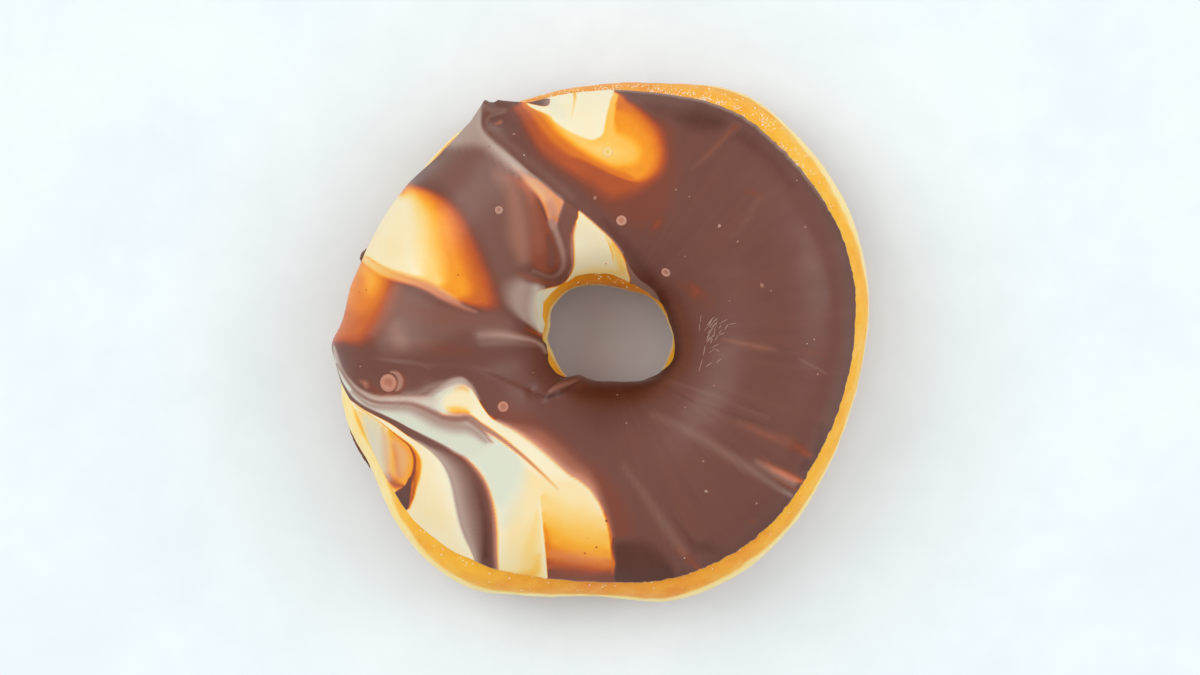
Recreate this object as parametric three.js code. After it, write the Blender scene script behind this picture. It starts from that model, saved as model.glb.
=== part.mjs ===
// A fried ring doughnut lying on its base, its top dipped in marbled milk and white chocolate icing.
// Millimetres, +Z up. Angles run anticlockwise seen from above, starting at +X.
import * as THREE from "three";
import { ParametricGeometry } from "three/addons/geometries/ParametricGeometry.js";
import { mergeVertices } from "three/addons/utils/BufferGeometryUtils.js";

// Driving heights of the dough, from the surface it lies on
const DOUGH_TOP = 28.7;
const WAIST_HEIGHT = 13.5;
// The top isn't level: it rises and falls once round the ring, and three times by less
const TOP_TILT = 0.5;
const TOP_WAVE = 0.25;
// How far the rounded underside would sag below the surface if it were not pressed flat
const PRESSED_FLAT = 0.8;
// 2 would make the section of the ring a plain oval, and more makes it squarer
const TOP_SQUARENESS = 2.1;
const BASE_SQUARENESS = 2.4;

// Radius of the dough every 15 degrees: outside at the waist, and at the narrowest of the hole
const OUTSIDE = [
  44.8, 46.3, 47.4, 47.7, 48.0, 44.9, 43.2, 42.6, 42.8, 41.7, 41.0, 41.6,
  43.2, 45.0, 44.5, 46.8, 47.6, 44.8, 43.3, 45.6, 45.9, 45.2, 44.1, 43.8,
];
const HOLE = [
  12.0, 11.6, 11.3, 10.7, 9.6, 9.2, 9.2, 9.5, 9.9, 9.9, 9.7, 8.9,
  9.0, 8.5, 8.4, 8.4, 8.3, 8.1, 8.1, 8.4, 9.3, 10.6, 11.3, 11.6,
];

// Height of the icing's edge every 15 degrees: outside, where it hangs lowest on the left, and in the hole
const RIM_HEIGHT = [
  23.2, 23.3, 24.0, 24.1, 23.9, 22.5, 21.3, 20.8, 19.5, 13.5, 11.5, 11.5,
  13.5, 21.6, 21.3, 23.0, 24.4, 23.7, 22.8, 23.9, 23.7, 23.5, 23.4, 22.8,
];
const HOLE_RIM_HEIGHT = [
  19.2, 18.9, 19.7, 19.9, 20.8, 21.6, 22.0, 22.0, 21.4, 21.6, 21.5, 20.3,
  20.1, 20.1, 20.0, 18.6, 14.0, 11.0, 11.0, 11.0, 12.0, 14.0, 17.9, 20.3,
];
const ICING_THICKNESS = 1.0;
// The edge of the icing rounds down to the dough over this length
const ICING_EDGE = 1.6;
// The icing is a piece of its own, a hair clear of the dough
const CLEARANCE = 0.4;

// Two tips where the icing was pulled as the doughnut left it: how far each stands out of the rim,
// the angle over which it rises on its clockwise side and falls on the other, and how far in it reaches
const TIPS = [
  { angle: 116, reach: 2.4, rise: 10, fall: 5, depth: 7 },
  { angle: 180, reach: 0.7, rise: 3, fall: 12, depth: 6 },
];
// 1 would give the tips straight sides, and more makes them hollower and sharper
const TIP_SHARPNESS = 1.3;
// Folds that run from each tip to the hole, as angle and radius: the height of each at the tip and at
// the hole, and how wide it is on its clockwise side and on the other
const FOLDS = [
  {
    path: [[116, 44.5], [114, 35], [107, 26.5], [97, 21], [82, 16], [66, 12.5]],
    heights: [1.5, 0.6],
    widths: [1.4, 4.5],
  },
  {
    path: [[180, 44.5], [180, 36], [179, 26], [178, 17], [180, 10.5]],
    heights: [0.9, 0.8],
    widths: [3.5, 2.2],
  },
  {
    path: [[221, 14.5], [226, 11.5], [231, 8.6]],
    heights: [0.9, 1.1],
    widths: [1.2, 2.4],
  },
];

// Two bits of icing that caught the side of the dough, apart from the rest
const SMEAR = { angle: 204, height: 13.4, halfAngle: 5.6, halfHeight: 1.5, thickness: 0.9, slope: 0.9 };
const DROP = { angle: 160.5, height: 9.7, halfAngle: 1.9, halfHeight: 1.3, thickness: 2.2, slope: 0 };

// Grid steps: around the ring, around the dough's section, and over and under the icing
const STEPS_AROUND = 90;
const DOUGH_STEPS = 32;
const ICING_TOP_STEPS = 20;
const ICING_UNDER_STEPS = 10;
const FOLD_STEPS = 60;
const BALL_STEPS = [20, 10];

const TURN = 2 * Math.PI;
const { degToRad, euclideanModulo, lerp } = THREE.MathUtils;

// A smooth closed line through values spaced evenly round the ring
function around(values, angle) {
  const place = euclideanModulo(angle / TURN, 1) * values.length;
  const i = Math.floor(place);
  const t = place - i;
  const [a, b, c, d] = [-1, 0, 1, 2].map((k) => values[(i + k + values.length) % values.length]);
  return b + 0.5 * t * (c - a + t * (2 * a - 5 * b + 4 * c - d + t * (3 * (b - c) + d - a)));
}

const keepSign = (x, power) => Math.sign(x) * Math.abs(x) ** power;

function doughTop(angle) {
  return DOUGH_TOP + TOP_TILT * Math.sin(angle + 0.6) + TOP_WAVE * Math.sin(3 * angle + 1);
}

// The dough's surface. lift runs round its section: 0 at the outer waist, a quarter turn at the crown.
function doughPoint(angle, lift) {
  const outside = around(OUTSIDE, angle);
  const hole = around(HOLE, angle);
  const crown = (outside + hole) / 2;
  const squareness = Math.sin(lift) > 0 ? TOP_SQUARENESS : BASE_SQUARENESS;
  const across = keepSign(Math.cos(lift), 2 / squareness);
  const up = keepSign(Math.sin(lift), 2 / squareness);
  const rise = up > 0 ? doughTop(angle) - WAIST_HEIGHT : WAIST_HEIGHT + PRESSED_FLAT;
  const radius = crown + ((outside - hole) / 2) * across;
  const height = Math.max(0, WAIST_HEIGHT + rise * up);
  return new THREE.Vector3(radius * Math.cos(angle), radius * Math.sin(angle), height);
}

// A point that stands off the dough's surface, square to it
function standOff(angle, lift, distance) {
  const step = 1e-3;
  const alongRing = doughPoint(angle + step, lift).sub(doughPoint(angle - step, lift));
  const alongSection = doughPoint(angle, lift + step).sub(doughPoint(angle, lift - step));
  const outward = alongRing.cross(alongSection).normalize();
  return doughPoint(angle, lift).addScaledVector(outward, distance);
}

// The lift at which the section passes a height, on its outer side
function liftAt(angle, height) {
  const above = height > WAIST_HEIGHT;
  const rise = above ? doughTop(angle) - WAIST_HEIGHT : WAIST_HEIGHT + PRESSED_FLAT;
  const share = (height - WAIST_HEIGHT) / rise;
  return Math.asin(keepSign(share, (above ? TOP_SQUARENESS : BASE_SQUARENESS) / 2));
}

// Each fold as a smooth line of points in plan, made once
const foldLines = FOLDS.map(({ path, heights, widths }) => {
  const corners = path.map(([degrees, radius]) => {
    const angle = degToRad(degrees);
    return new THREE.Vector3(radius * Math.cos(angle), radius * Math.sin(angle), 0);
  });
  const line = new THREE.CatmullRomCurve3(corners).getPoints(FOLD_STEPS);
  return { line, heights, widths };
});

// How much the folds raise the icing over a point
function foldHeight(point) {
  let raised = 0;
  for (const { line, heights, widths } of foldLines) {
    let nearest = Infinity;
    let at = 0;
    line.forEach((p, i) => {
      const distance = Math.hypot(point.x - p.x, point.y - p.y);
      if (distance < nearest) {
        nearest = distance;
        at = i;
      }
    });
    const ahead = line[Math.min(at + 1, line.length - 1)];
    const behind = line[Math.max(at - 1, 0)];
    const turn = (ahead.x - behind.x) * (point.y - line[at].y) - (ahead.y - behind.y) * (point.x - line[at].x);
    const width = turn > 0 ? widths[0] : widths[1];
    const height = lerp(heights[0], heights[1], at / (line.length - 1));
    raised = Math.max(raised, height * Math.exp(-((nearest / width) ** 2)));
  }
  return raised;
}

// How far the two tips push the rim out at a distance in from the rim
function tipReach(angle, inward) {
  const degrees = euclideanModulo(angle / TURN, 1) * 360;
  let reach = 0;
  for (const tip of TIPS) {
    const off = degrees - tip.angle;
    const share = 1 - Math.abs(off) / (off < 0 ? tip.rise : tip.fall);
    reach += tip.reach * Math.max(0, share) ** TIP_SHARPNESS * Math.exp(-((inward / tip.depth) ** 2));
  }
  return reach;
}

// A closed ring swept by a loop of points, one loop at each angle
function sweptRing(loopPoint, loopSteps) {
  const surface = (u, v, target) => {
    const angle = (Math.round(u * STEPS_AROUND) % STEPS_AROUND) * (TURN / STEPS_AROUND);
    target.copy(loopPoint(angle, Math.round(v * loopSteps) % loopSteps));
  };
  const geometry = new ParametricGeometry(surface, STEPS_AROUND, loopSteps);
  geometry.deleteAttribute("normal");
  geometry.deleteAttribute("uv");
  const welded = mergeVertices(geometry);
  welded.computeVertexNormals();
  return welded;
}

function doughGeometry() {
  return sweptRing((angle, i) => doughPoint(angle, (i / DOUGH_STEPS) * TURN), DOUGH_STEPS);
}

// The icing's section: over its top from the rim to the hole, then back underneath
function icingPoint(angle, i) {
  const rim = liftAt(angle, around(RIM_HEIGHT, angle));
  const holeRim = Math.PI - liftAt(angle, around(HOLE_RIM_HEIGHT, angle));
  if (i > ICING_TOP_STEPS) {
    const share = 1 - (i - ICING_TOP_STEPS) / ICING_UNDER_STEPS;
    return standOff(angle, lerp(rim, holeRim, share), CLEARANCE);
  }
  // Steps are closest at the two edges, where the icing rounds off
  const share = 0.5 - 0.5 * Math.cos((i / ICING_TOP_STEPS) * Math.PI);
  const lift = lerp(rim, holeRim, share);
  const ringHalf = (around(OUTSIDE, angle) - around(HOLE, angle)) / 2;
  const inward = share * (holeRim - rim) * ringHalf;
  const fromEdge = Math.min(inward, (1 - share) * (holeRim - rim) * ringHalf);
  const edge = 1 - Math.min(fromEdge / ICING_EDGE, 1);
  const rounded = Math.sqrt(1 - edge ** 2);
  const raised = ICING_THICKNESS + foldHeight(doughPoint(angle, lift));
  const point = standOff(angle, lift, CLEARANCE + raised * rounded);
  const reach = tipReach(angle, inward) * rounded;
  return point.add(new THREE.Vector3(Math.cos(angle), Math.sin(angle), 0).multiplyScalar(reach));
}

function icingGeometry() {
  return sweptRing(icingPoint, ICING_TOP_STEPS + ICING_UNDER_STEPS);
}

// A bit of icing stuck on the dough's outer side: a ball flattened on to the dough
function stuckBit({ angle, height, halfAngle, halfHeight, thickness, slope }) {
  const ball = new THREE.SphereGeometry(1, ...BALL_STEPS);
  ball.deleteAttribute("normal");
  ball.deleteAttribute("uv");
  const bit = mergeVertices(ball);
  const place = bit.getAttribute("position");
  for (let i = 0; i < place.count; i++) {
    const along = place.getX(i);
    const at = degToRad(angle + along * halfAngle);
    const lift = liftAt(at, height + slope * along + place.getZ(i) * halfHeight);
    const off = CLEARANCE + (thickness * (1 - place.getY(i))) / 2;
    const point = standOff(at, lift, off);
    place.setXYZ(i, point.x, point.y, point.z);
  }
  bit.computeVertexNormals();
  return bit;
}

function foodMaterial(colour, roughness) {
  return new THREE.MeshStandardMaterial({ color: colour, roughness, metalness: 0 });
}

function named(name, geometry, material) {
  const mesh = new THREE.Mesh(geometry, material);
  mesh.name = name;
  return mesh;
}

const crust = foodMaterial(0xe3a04a, 0.55);
const chocolate = foodMaterial(0x6f4a40, 0.32);
const doughnut = new THREE.Group();
doughnut.add(
  named("dough", doughGeometry(), crust),
  named("icing", icingGeometry(), chocolate),
  named("icing_smear", stuckBit(SMEAR), chocolate),
  named("icing_drop", stuckBit(DROP), chocolate),
);

// The origin is under the middle of the whole outline, on the surface that the doughnut lies on
const middle = new THREE.Box3().setFromObject(doughnut, true).getCenter(new THREE.Vector3());
doughnut.position.set(-middle.x, -middle.y, 0);

export default doughnut;
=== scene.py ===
# %% [markdown]
# # A ring doughnut dipped in marbled chocolate
#
# The object is a fried ring of dough, lying flat, whose top was dipped in milk chocolate icing with
# white chocolate stirred into it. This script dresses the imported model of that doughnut: it gives the
# dough its fried skin and the icing its marbling, lights them softly and looks straight down.
#
# All sizes below are in millimetres, measured from the middle of the ring, and turn to metres when a
# mesh is made. Angles run anticlockwise seen from above, starting at +X.

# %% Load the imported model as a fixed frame
import math

import bpy
import numpy as np
from mathutils import Matrix, Vector, noise


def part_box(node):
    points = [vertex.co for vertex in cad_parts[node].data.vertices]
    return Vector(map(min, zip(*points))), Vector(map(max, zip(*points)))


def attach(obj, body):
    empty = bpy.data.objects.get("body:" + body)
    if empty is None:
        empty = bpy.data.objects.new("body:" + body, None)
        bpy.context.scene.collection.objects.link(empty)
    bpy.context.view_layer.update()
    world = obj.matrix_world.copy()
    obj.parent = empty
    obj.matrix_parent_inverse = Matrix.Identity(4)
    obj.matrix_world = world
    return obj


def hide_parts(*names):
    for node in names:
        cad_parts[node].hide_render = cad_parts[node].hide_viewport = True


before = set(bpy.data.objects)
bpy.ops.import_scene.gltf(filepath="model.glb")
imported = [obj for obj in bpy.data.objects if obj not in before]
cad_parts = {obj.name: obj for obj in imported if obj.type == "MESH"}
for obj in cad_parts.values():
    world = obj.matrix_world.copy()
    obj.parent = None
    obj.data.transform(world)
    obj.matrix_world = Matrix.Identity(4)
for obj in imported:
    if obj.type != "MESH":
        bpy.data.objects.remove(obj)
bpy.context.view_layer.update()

print("nodes:", sorted(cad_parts))

# %% [markdown]
# ## The shape of the ring
#
# The ring isn't a perfect torus. Its outside and its hole wander by a few millimetres, so each is given
# as a radius every 15 degrees and a smooth closed line runs through those values. The section of the
# ring is a squared oval that stands on a flat spot. These are the same rules as the solid's, so that
# the fine skin made here lies on the solid that it stands for.

# %% Driving sizes of the ring
MM = 0.001
TURN = 2 * math.pi
DOUGH_TOP = 28.7
WAIST_HEIGHT = 13.5
TOP_TILT = 0.5
TOP_WAVE = 0.25
PRESSED_FLAT = 0.8
TOP_SQUARENESS = 2.1
BASE_SQUARENESS = 2.4
OUTSIDE = np.array([
    44.8, 46.3, 47.4, 47.7, 48.0, 44.9, 43.2, 42.6, 42.8, 41.7, 41.0, 41.6,
    43.2, 45.0, 44.5, 46.8, 47.6, 44.8, 43.3, 45.6, 45.9, 45.2, 44.1, 43.8,
])
HOLE = np.array([
    12.0, 11.6, 11.3, 10.7, 9.6, 9.2, 9.2, 9.5, 9.9, 9.9, 9.7, 8.9,
    9.0, 8.5, 8.4, 8.4, 8.3, 8.1, 8.1, 8.4, 9.3, 10.6, 11.3, 11.6,
])


# %% Rules of the ring
def curve(a, b, c, d, t):
    """A smooth curve from b, where t is 0, to c, where it is 1. a lies before them and d after them."""
    return b + 0.5 * t * (c - a + t * (2 * a - 5 * b + 4 * c - d + t * (3 * (b - c) + d - a)))


def around(values, angle):
    """A smooth closed line through values spaced evenly round the ring."""
    place = np.mod(angle / TURN, 1) * len(values)
    i = np.floor(place).astype(int)
    return curve(*(values[(i + k) % len(values)] for k in (-1, 0, 1, 2)), place - i)


def keep_sign(x, power):
    return np.sign(x) * np.abs(x) ** power


def dough_top(angle):
    return DOUGH_TOP + TOP_TILT * np.sin(angle + 0.6) + TOP_WAVE * np.sin(3 * angle + 1)


def dough_point(angle, lift):
    """The dough's surface. lift runs round its section: 0 at the outer waist, a quarter turn at the crown."""
    outside, hole = around(OUTSIDE, angle), around(HOLE, angle)
    above = np.sin(lift) > 0
    power = np.where(above, 2 / TOP_SQUARENESS, 2 / BASE_SQUARENESS)
    across = keep_sign(np.cos(lift), power)
    up = keep_sign(np.sin(lift), power)
    rise = np.where(above, dough_top(angle) - WAIST_HEIGHT, WAIST_HEIGHT + PRESSED_FLAT)
    radius = (outside + hole) / 2 + (outside - hole) / 2 * across
    height = np.maximum(0, WAIST_HEIGHT + rise * up)
    return np.stack([radius * np.cos(angle), radius * np.sin(angle), height], axis=-1)


def outward(angle, lift, step=1e-3):
    """The direction square to the dough's surface."""
    along_ring = dough_point(angle + step, lift) - dough_point(angle - step, lift)
    along_section = dough_point(angle, lift + step) - dough_point(angle, lift - step)
    normal = np.cross(along_ring, along_section)
    return normal / np.linalg.norm(normal, axis=-1, keepdims=True)


def lift_at(angle, height):
    """The lift at which the section passes a height, on its outer side."""
    above = height > WAIST_HEIGHT
    rise = np.where(above, dough_top(angle) - WAIST_HEIGHT, WAIST_HEIGHT + PRESSED_FLAT)
    power = np.where(above, TOP_SQUARENESS, BASE_SQUARENESS) / 2
    return np.arcsin(keep_sign((height - WAIST_HEIGHT) / rise, power))


# %% Where the ring's middle lies in the frame
outline_angles = np.linspace(0, TURN, 720, endpoint=False)
outline = dough_point(outline_angles, np.zeros_like(outline_angles))
dough_low, dough_high = (np.array(corner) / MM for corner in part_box("dough"))
CENTRE = dough_low[:2] - outline[:, :2].min(axis=0)
print("the ring's middle is at", CENTRE.round(2), "mm; the dough measures", (dough_high - dough_low).round(1))


# %% Meshes from grids of points
def even_lifts(angle, start, end, stations):
    """Lifts along each section from start to end. stations turns the section's length into distances."""
    share = np.linspace(0, 1, 500)
    lifts = start[:, None] + (end - start)[:, None] * share
    points = dough_point(angle[:, None], lifts)
    steps = np.linalg.norm(np.diff(points, axis=1), axis=2)
    travelled = np.concatenate([np.zeros((len(angle), 1)), np.cumsum(steps, axis=1)], axis=1)
    rows = zip(travelled, lifts)
    return np.array([np.interp(stations(far[-1]), far, row) for far, row in rows]), travelled[:, -1]


def new_piece(name, points, faces):
    """An object from points in millimetres round the ring's middle, and faces."""
    place = np.array(points, float).reshape(-1, 3)
    place[:, :2] += CENTRE
    mesh = bpy.data.meshes.new(name)
    mesh.from_pydata((place * MM).tolist(), [], faces)
    mesh.polygons.foreach_set("use_smooth", np.ones(len(mesh.polygons), bool))
    mesh.update()
    made = bpy.data.objects.new(name, mesh)
    bpy.context.scene.collection.objects.link(made)
    return made


def closed_grid(name, points):
    """A piece from a grid of points that closes on itself both ways, with its faces pointing out."""
    index = np.arange(points.shape[0] * points.shape[1]).reshape(points.shape[:2])
    across = np.roll(index, -1, axis=0)
    faces = np.stack([index, across, np.roll(across, -1, axis=1), np.roll(index, -1, axis=1)], axis=-1)
    return new_piece(name, points, faces.reshape(-1, 4).tolist())


def set_attribute(made, name, values, vectors=False):
    layer = made.data.attributes.new(name, "FLOAT_VECTOR" if vectors else "FLOAT", "POINT")
    flat = np.ascontiguousarray(values, dtype=np.float32).ravel()
    layer.data.foreach_set("vector" if vectors else "value", flat)


# %% [markdown]
# ## Node helpers
#
# Materials and Geometry Nodes are both trees of nodes. One small helper that makes a node, sets it and
# links it keeps each tree readable as a list of steps.

# %% Helpers that build node trees
def node(tree, kind, sockets=None, **settings):
    """Adds a node. sockets maps an input's name or number to a value or to the output it is linked from."""
    made = tree.nodes.new(kind)
    for key, value in settings.items():
        setattr(made, key, value)
    for key, value in (sockets or {}).items():
        if isinstance(value, bpy.types.NodeSocket):
            tree.links.new(value, made.inputs[key])
        else:
            made.inputs[key].default_value = value
    return made


def maths(tree, operation, *values):
    return node(tree, "ShaderNodeMath", dict(enumerate(values)), operation=operation).outputs[0]


def remap(tree, value, low, high, to_low=0.0, to_high=1.0):
    sockets = {"Value": value, "From Min": low, "From Max": high, "To Min": to_low, "To Max": to_high}
    return node(tree, "ShaderNodeMapRange", sockets, interpolation_type="SMOOTHSTEP").outputs["Result"]


def srgb(red, green, blue):
    """A colour as read off a screen, 0 to 255, turned to the linear values that shaders use."""
    scaled = [c / 255 for c in (red, green, blue)]
    return [c / 12.92 if c <= 0.04045 else ((c + 0.055) / 1.055) ** 2.4 for c in scaled] + [1.0]


def ramp(tree, value, stops):
    """A colour ramp from (position, colour) stops."""
    made = node(tree, "ShaderNodeValToRGB", {"Fac": value})
    elements = made.color_ramp.elements
    elements[0].position, elements[0].color = stops[0]
    elements[1].position, elements[1].color = stops[-1]
    for position, colour in stops[1:-1]:
        elements.new(position).color = colour
    return made.outputs["Color"]


def new_tree(name, kind, inputs, output):
    """A node group. Its inputs and its output are named, each with a number or with a type of socket."""
    tree = bpy.data.node_groups.new(name, kind)
    for in_out, sockets in (("INPUT", inputs), ("OUTPUT", output)):
        for label, value in sockets.items():
            if isinstance(value, str):
                tree.interface.new_socket(label, in_out=in_out, socket_type="NodeSocket" + value)
            else:
                socket_type = "NodeSocketInt" if isinstance(value, int) else "NodeSocketFloat"
                made = tree.interface.new_socket(label, in_out=in_out, socket_type=socket_type)
                made.default_value = value
    return tree, node(tree, "NodeGroupInput"), node(tree, "NodeGroupOutput")


def new_growth(name, inputs):
    """A Geometry Nodes tree that takes a mesh first and a material last, and gives a mesh."""
    inputs = {"Geometry": "Geometry", **inputs, "Material": "Material"}
    return new_tree(name, "GeometryNodeTree", inputs, {"Geometry": "Geometry"})


def dress(tree, given, out, geometry):
    """Ends a Geometry Nodes tree: what it made gets the material."""
    sockets = {"Geometry": geometry, "Material": given.outputs["Material"]}
    tree.links.new(node(tree, "GeometryNodeSetMaterial", sockets).outputs[0], out.inputs[0])


def new_material(name, **settings):
    """A material with a Principled shader, and the constant values set on its own sockets."""
    material = bpy.data.materials.new(name)
    material.use_nodes = True
    shader = material.node_tree.nodes["Principled BSDF"]
    for label, value in settings.items():
        shader.inputs[label.replace("_", " ")].default_value = value
    return material, material.node_tree, shader


def grown(made, tree, settings):
    """Runs a Geometry Nodes tree on an object and keeps the result as a plain mesh."""
    modifier = made.modifiers.new(tree.name, "NODES")
    modifier.node_group = tree
    sockets = {s.name: s.identifier for s in tree.interface.items_tree if s.in_out == "INPUT"}
    for label, value in settings.items():
        modifier[sockets[label]] = value
    depsgraph = bpy.context.evaluated_depsgraph_get()
    result = bpy.data.meshes.new_from_object(made.evaluated_get(depsgraph))
    made.modifiers.remove(modifier)
    old = made.data
    made.data = result
    bpy.data.meshes.remove(old)
    print(made.name, "has", len(result.polygons), "faces")
    return made


# %% [markdown]
# ## The fried dough
#
# Dough floats in the oil and is turned once, so it has two fried halves and a pale ring between them
# at the waist, where the oil never reached. From above only a band of it shows, golden where it meets
# the icing and pale at the waist.
#
# The skin is a grid swept round the ring. How deeply each point was fried is worked out from its
# height and kept as an attribute, because that follows the object's own shape and not a texture's.

# %% Where the dough stayed pale
# Height at which the pale ring starts below the icing, every 30 degrees
PALE_TOP = np.array([15.0, 19.2, 16.0, 11.5, 16.0, 18.0, 21.0, 20.0, 18.2, 17.0, 18.5, 17.0])
# How deep the golden skin over it is, every 30 degrees
GOLDEN = np.array([0.36, 0.36, 0.39, 0.5, 0.45, 0.4, 0.34, 0.36, 0.4, 0.49, 0.46, 0.38])
# The same two for the wall of the hole
PALE_HOLE_TOP = np.array([15.0, 14.5, 14.0, 14.0, 15.2, 16.4, 17.0, 15.5, 15.0, 15.0, 15.0, 15.0])
GOLDEN_HOLE = np.array([0.36, 0.42, 0.5, 0.56, 0.48, 0.38, 0.34, 0.42, 0.5, 0.5, 0.46, 0.36])
# Heights at which the pale ring ends above the browned underside, outside and in the hole
PALE_BOTTOM = 8.0
PALE_HOLE_BOTTOM = 11.5
DEEP_BROWN_HEIGHT = 5.0


def soft_step(low, high, x):
    t = np.clip((x - low) / (high - low), 0, 1)
    return t * t * (3 - 2 * t)


def wander(points, size, seed):
    """Smooth noise from -1 to 1 at each point; size is the distance over which it changes, in mm."""
    shift = Vector((seed * 17.3, seed * 5.1, seed * 9.7))
    values = [noise.noise(Vector(p) / size + shift) for p in points.reshape(-1, 3).tolist()]
    return np.array(values).reshape(points.shape[:-1])


def by_side(on_outside, angle, outside_values, hole_values):
    """Values round the ring: one set for its outside and one for the wall of its hole."""
    return np.where(on_outside, around(outside_values, angle)[:, None], around(hole_values, angle)[:, None])


# %% Make the dough's skin
DOUGH_ROWS = 480
DOUGH_COLUMNS = 144
angle = np.linspace(0, TURN, DOUGH_ROWS, endpoint=False)
whole_turn = np.full(DOUGH_ROWS, TURN)
column_shares = np.arange(DOUGH_COLUMNS) / DOUGH_COLUMNS
lifts, _ = even_lifts(angle, 0 * angle, whole_turn, lambda far: column_shares * far)
skin = dough_point(angle[:, None], lifts)
wobble = 0.9 * wander(skin, 6, 1) + 0.5 * wander(skin, 2, 2)
on_outside = np.cos(lifts) > 0
pale_top = by_side(on_outside, angle, PALE_TOP, PALE_HOLE_TOP) + wobble
height = skin[..., 2]
above_pale = soft_step(-0.5, 0.7, height - pale_top)
pale_bottom = np.where(on_outside, PALE_BOTTOM, PALE_HOLE_BOTTOM)
below_pale = soft_step(0.8, -0.8, height - pale_bottom - wobble)
golden = by_side(on_outside, angle, GOLDEN, GOLDEN_HOLE) + 0.07 * wander(skin, 5, 3)
browned = 0.62 + 0.3 * soft_step(DEEP_BROWN_HEIGHT + 2, 0.5, height) + 0.1 * wander(skin, 7, 4)
fried = 0.06 + above_pale * (golden - 0.06)
fried = fried + below_pale * (browned - fried)
# The skin is pinched in a little where the pale ring starts
pinch = 0.18 * np.exp(-(((height - pale_top) / 0.7) ** 2)) * (height > 3)
skin = skin - outward(angle[:, None], lifts) * pinch[..., None]
dough = closed_grid("dough_ring", skin)
set_attribute(dough, "fried", fried)
print("dough grid:", skin.shape[:2])

# %% [markdown]
# Fried skin is never smooth: it has broad dents, small blisters and fine wrinkles. They are real
# relief, so Geometry Nodes moves the grid's points out and in by noise of three sizes. The spot that
# the ring lies on stays flat.

# %% Give the skin its blisters
def crust_tree():
    tree, given, out = new_growth("Fried skin", {
        "Dent": 0.3, "Dent size": 9.0, "Blister": 0.12, "Blister size": 2.2,
        "Wrinkle": 0.06, "Wrinkle size": 0.8,
    })
    position = node(tree, "GeometryNodeInputPosition").outputs[0]
    in_mm = node(tree, "ShaderNodeVectorMath", {0: position, "Scale": 1000.0}, operation="SCALE").outputs[0]

    def layer(size, amount, detail):
        scale = maths(tree, "DIVIDE", 1.0, given.outputs[size])
        sockets = {"Vector": in_mm, "Scale": scale, "Detail": detail, "Roughness": 0.5}
        wave = node(tree, "ShaderNodeTexNoise", sockets).outputs[0]
        return maths(tree, "MULTIPLY", maths(tree, "SUBTRACT", wave, 0.5), given.outputs[amount])

    dents = layer("Dent size", "Dent", 1.0)
    wrinkles = layer("Wrinkle size", "Wrinkle", 2.0)
    cells = maths(tree, "DIVIDE", 1.0, given.outputs["Blister size"])
    sockets = {"Vector": in_mm, "Scale": cells, "Smoothness": 0.6}
    voronoi = node(tree, "ShaderNodeTexVoronoi", sockets, feature="SMOOTH_F1").outputs["Distance"]
    dome = maths(tree, "SUBTRACT", 0.5, voronoi)
    blisters = maths(tree, "MULTIPLY", dome, given.outputs["Blister"])
    total = maths(tree, "ADD", maths(tree, "ADD", dents, wrinkles), blisters)
    height = node(tree, "ShaderNodeSeparateXYZ", {0: in_mm}).outputs[2]
    off_floor = remap(tree, height, 0.0, 2.5)
    amount = maths(tree, "MULTIPLY", maths(tree, "MULTIPLY", total, off_floor), MM)
    normal = node(tree, "GeometryNodeInputNormal").outputs[0]
    offset = node(tree, "ShaderNodeVectorMath", {0: normal, "Scale": amount}, operation="SCALE").outputs[0]
    moved = node(tree, "GeometryNodeSetPosition", {"Geometry": given.outputs["Geometry"], "Offset": offset})
    dress(tree, given, out, node(tree, "GeometryNodeRealizeInstances", {0: moved.outputs[0]}).outputs[0])
    return tree


# %% [markdown]
# ## Materials of the dough
#
# Mottling, which the dough and the icing both have at their own scale, is a node group that puts out a
# value round zero. The dough's colour runs along a ramp from the pale waist to the deep brown base,
# and the mottling shifts each point a little along it.

# %% The mottling that dough and icing share
def mottling_group():
    inputs = {"Vector": "Vector", "Size": 2.0, "Fine size": 0.4, "Fine share": 0.4}
    tree, given, out = new_tree("Mottling", "ShaderNodeTree", inputs, {"Value": "Float"})

    def layer(size):
        scale = maths(tree, "DIVIDE", 1000.0, given.outputs[size])
        sockets = {"Vector": given.outputs["Vector"], "Scale": scale, "Detail": 3.0}
        wave = node(tree, "ShaderNodeTexNoise", sockets).outputs[0]
        return maths(tree, "SUBTRACT", wave, 0.5)

    fine = maths(tree, "MULTIPLY", layer("Fine size"), given.outputs["Fine share"])
    tree.links.new(maths(tree, "ADD", layer("Size"), fine), out.inputs[0])
    return tree


MOTTLING = mottling_group()


def mottling(tree, size, fine_size, fine_share):
    place = node(tree, "ShaderNodeTexCoord").outputs["Object"]
    sockets = {"Vector": place, "Size": size, "Fine size": fine_size, "Fine share": fine_share}
    return node(tree, "ShaderNodeGroup", sockets, node_tree=MOTTLING).outputs[0]


# %% Fried dough
FRIED_COLOURS = [
    (0.0, srgb(255, 230, 168)), (0.18, srgb(255, 212, 108)), (0.36, srgb(255, 184, 34)),
    (0.52, srgb(242, 148, 18)), (0.7, srgb(198, 104, 24)), (1.0, srgb(120, 60, 24)),
]


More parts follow.
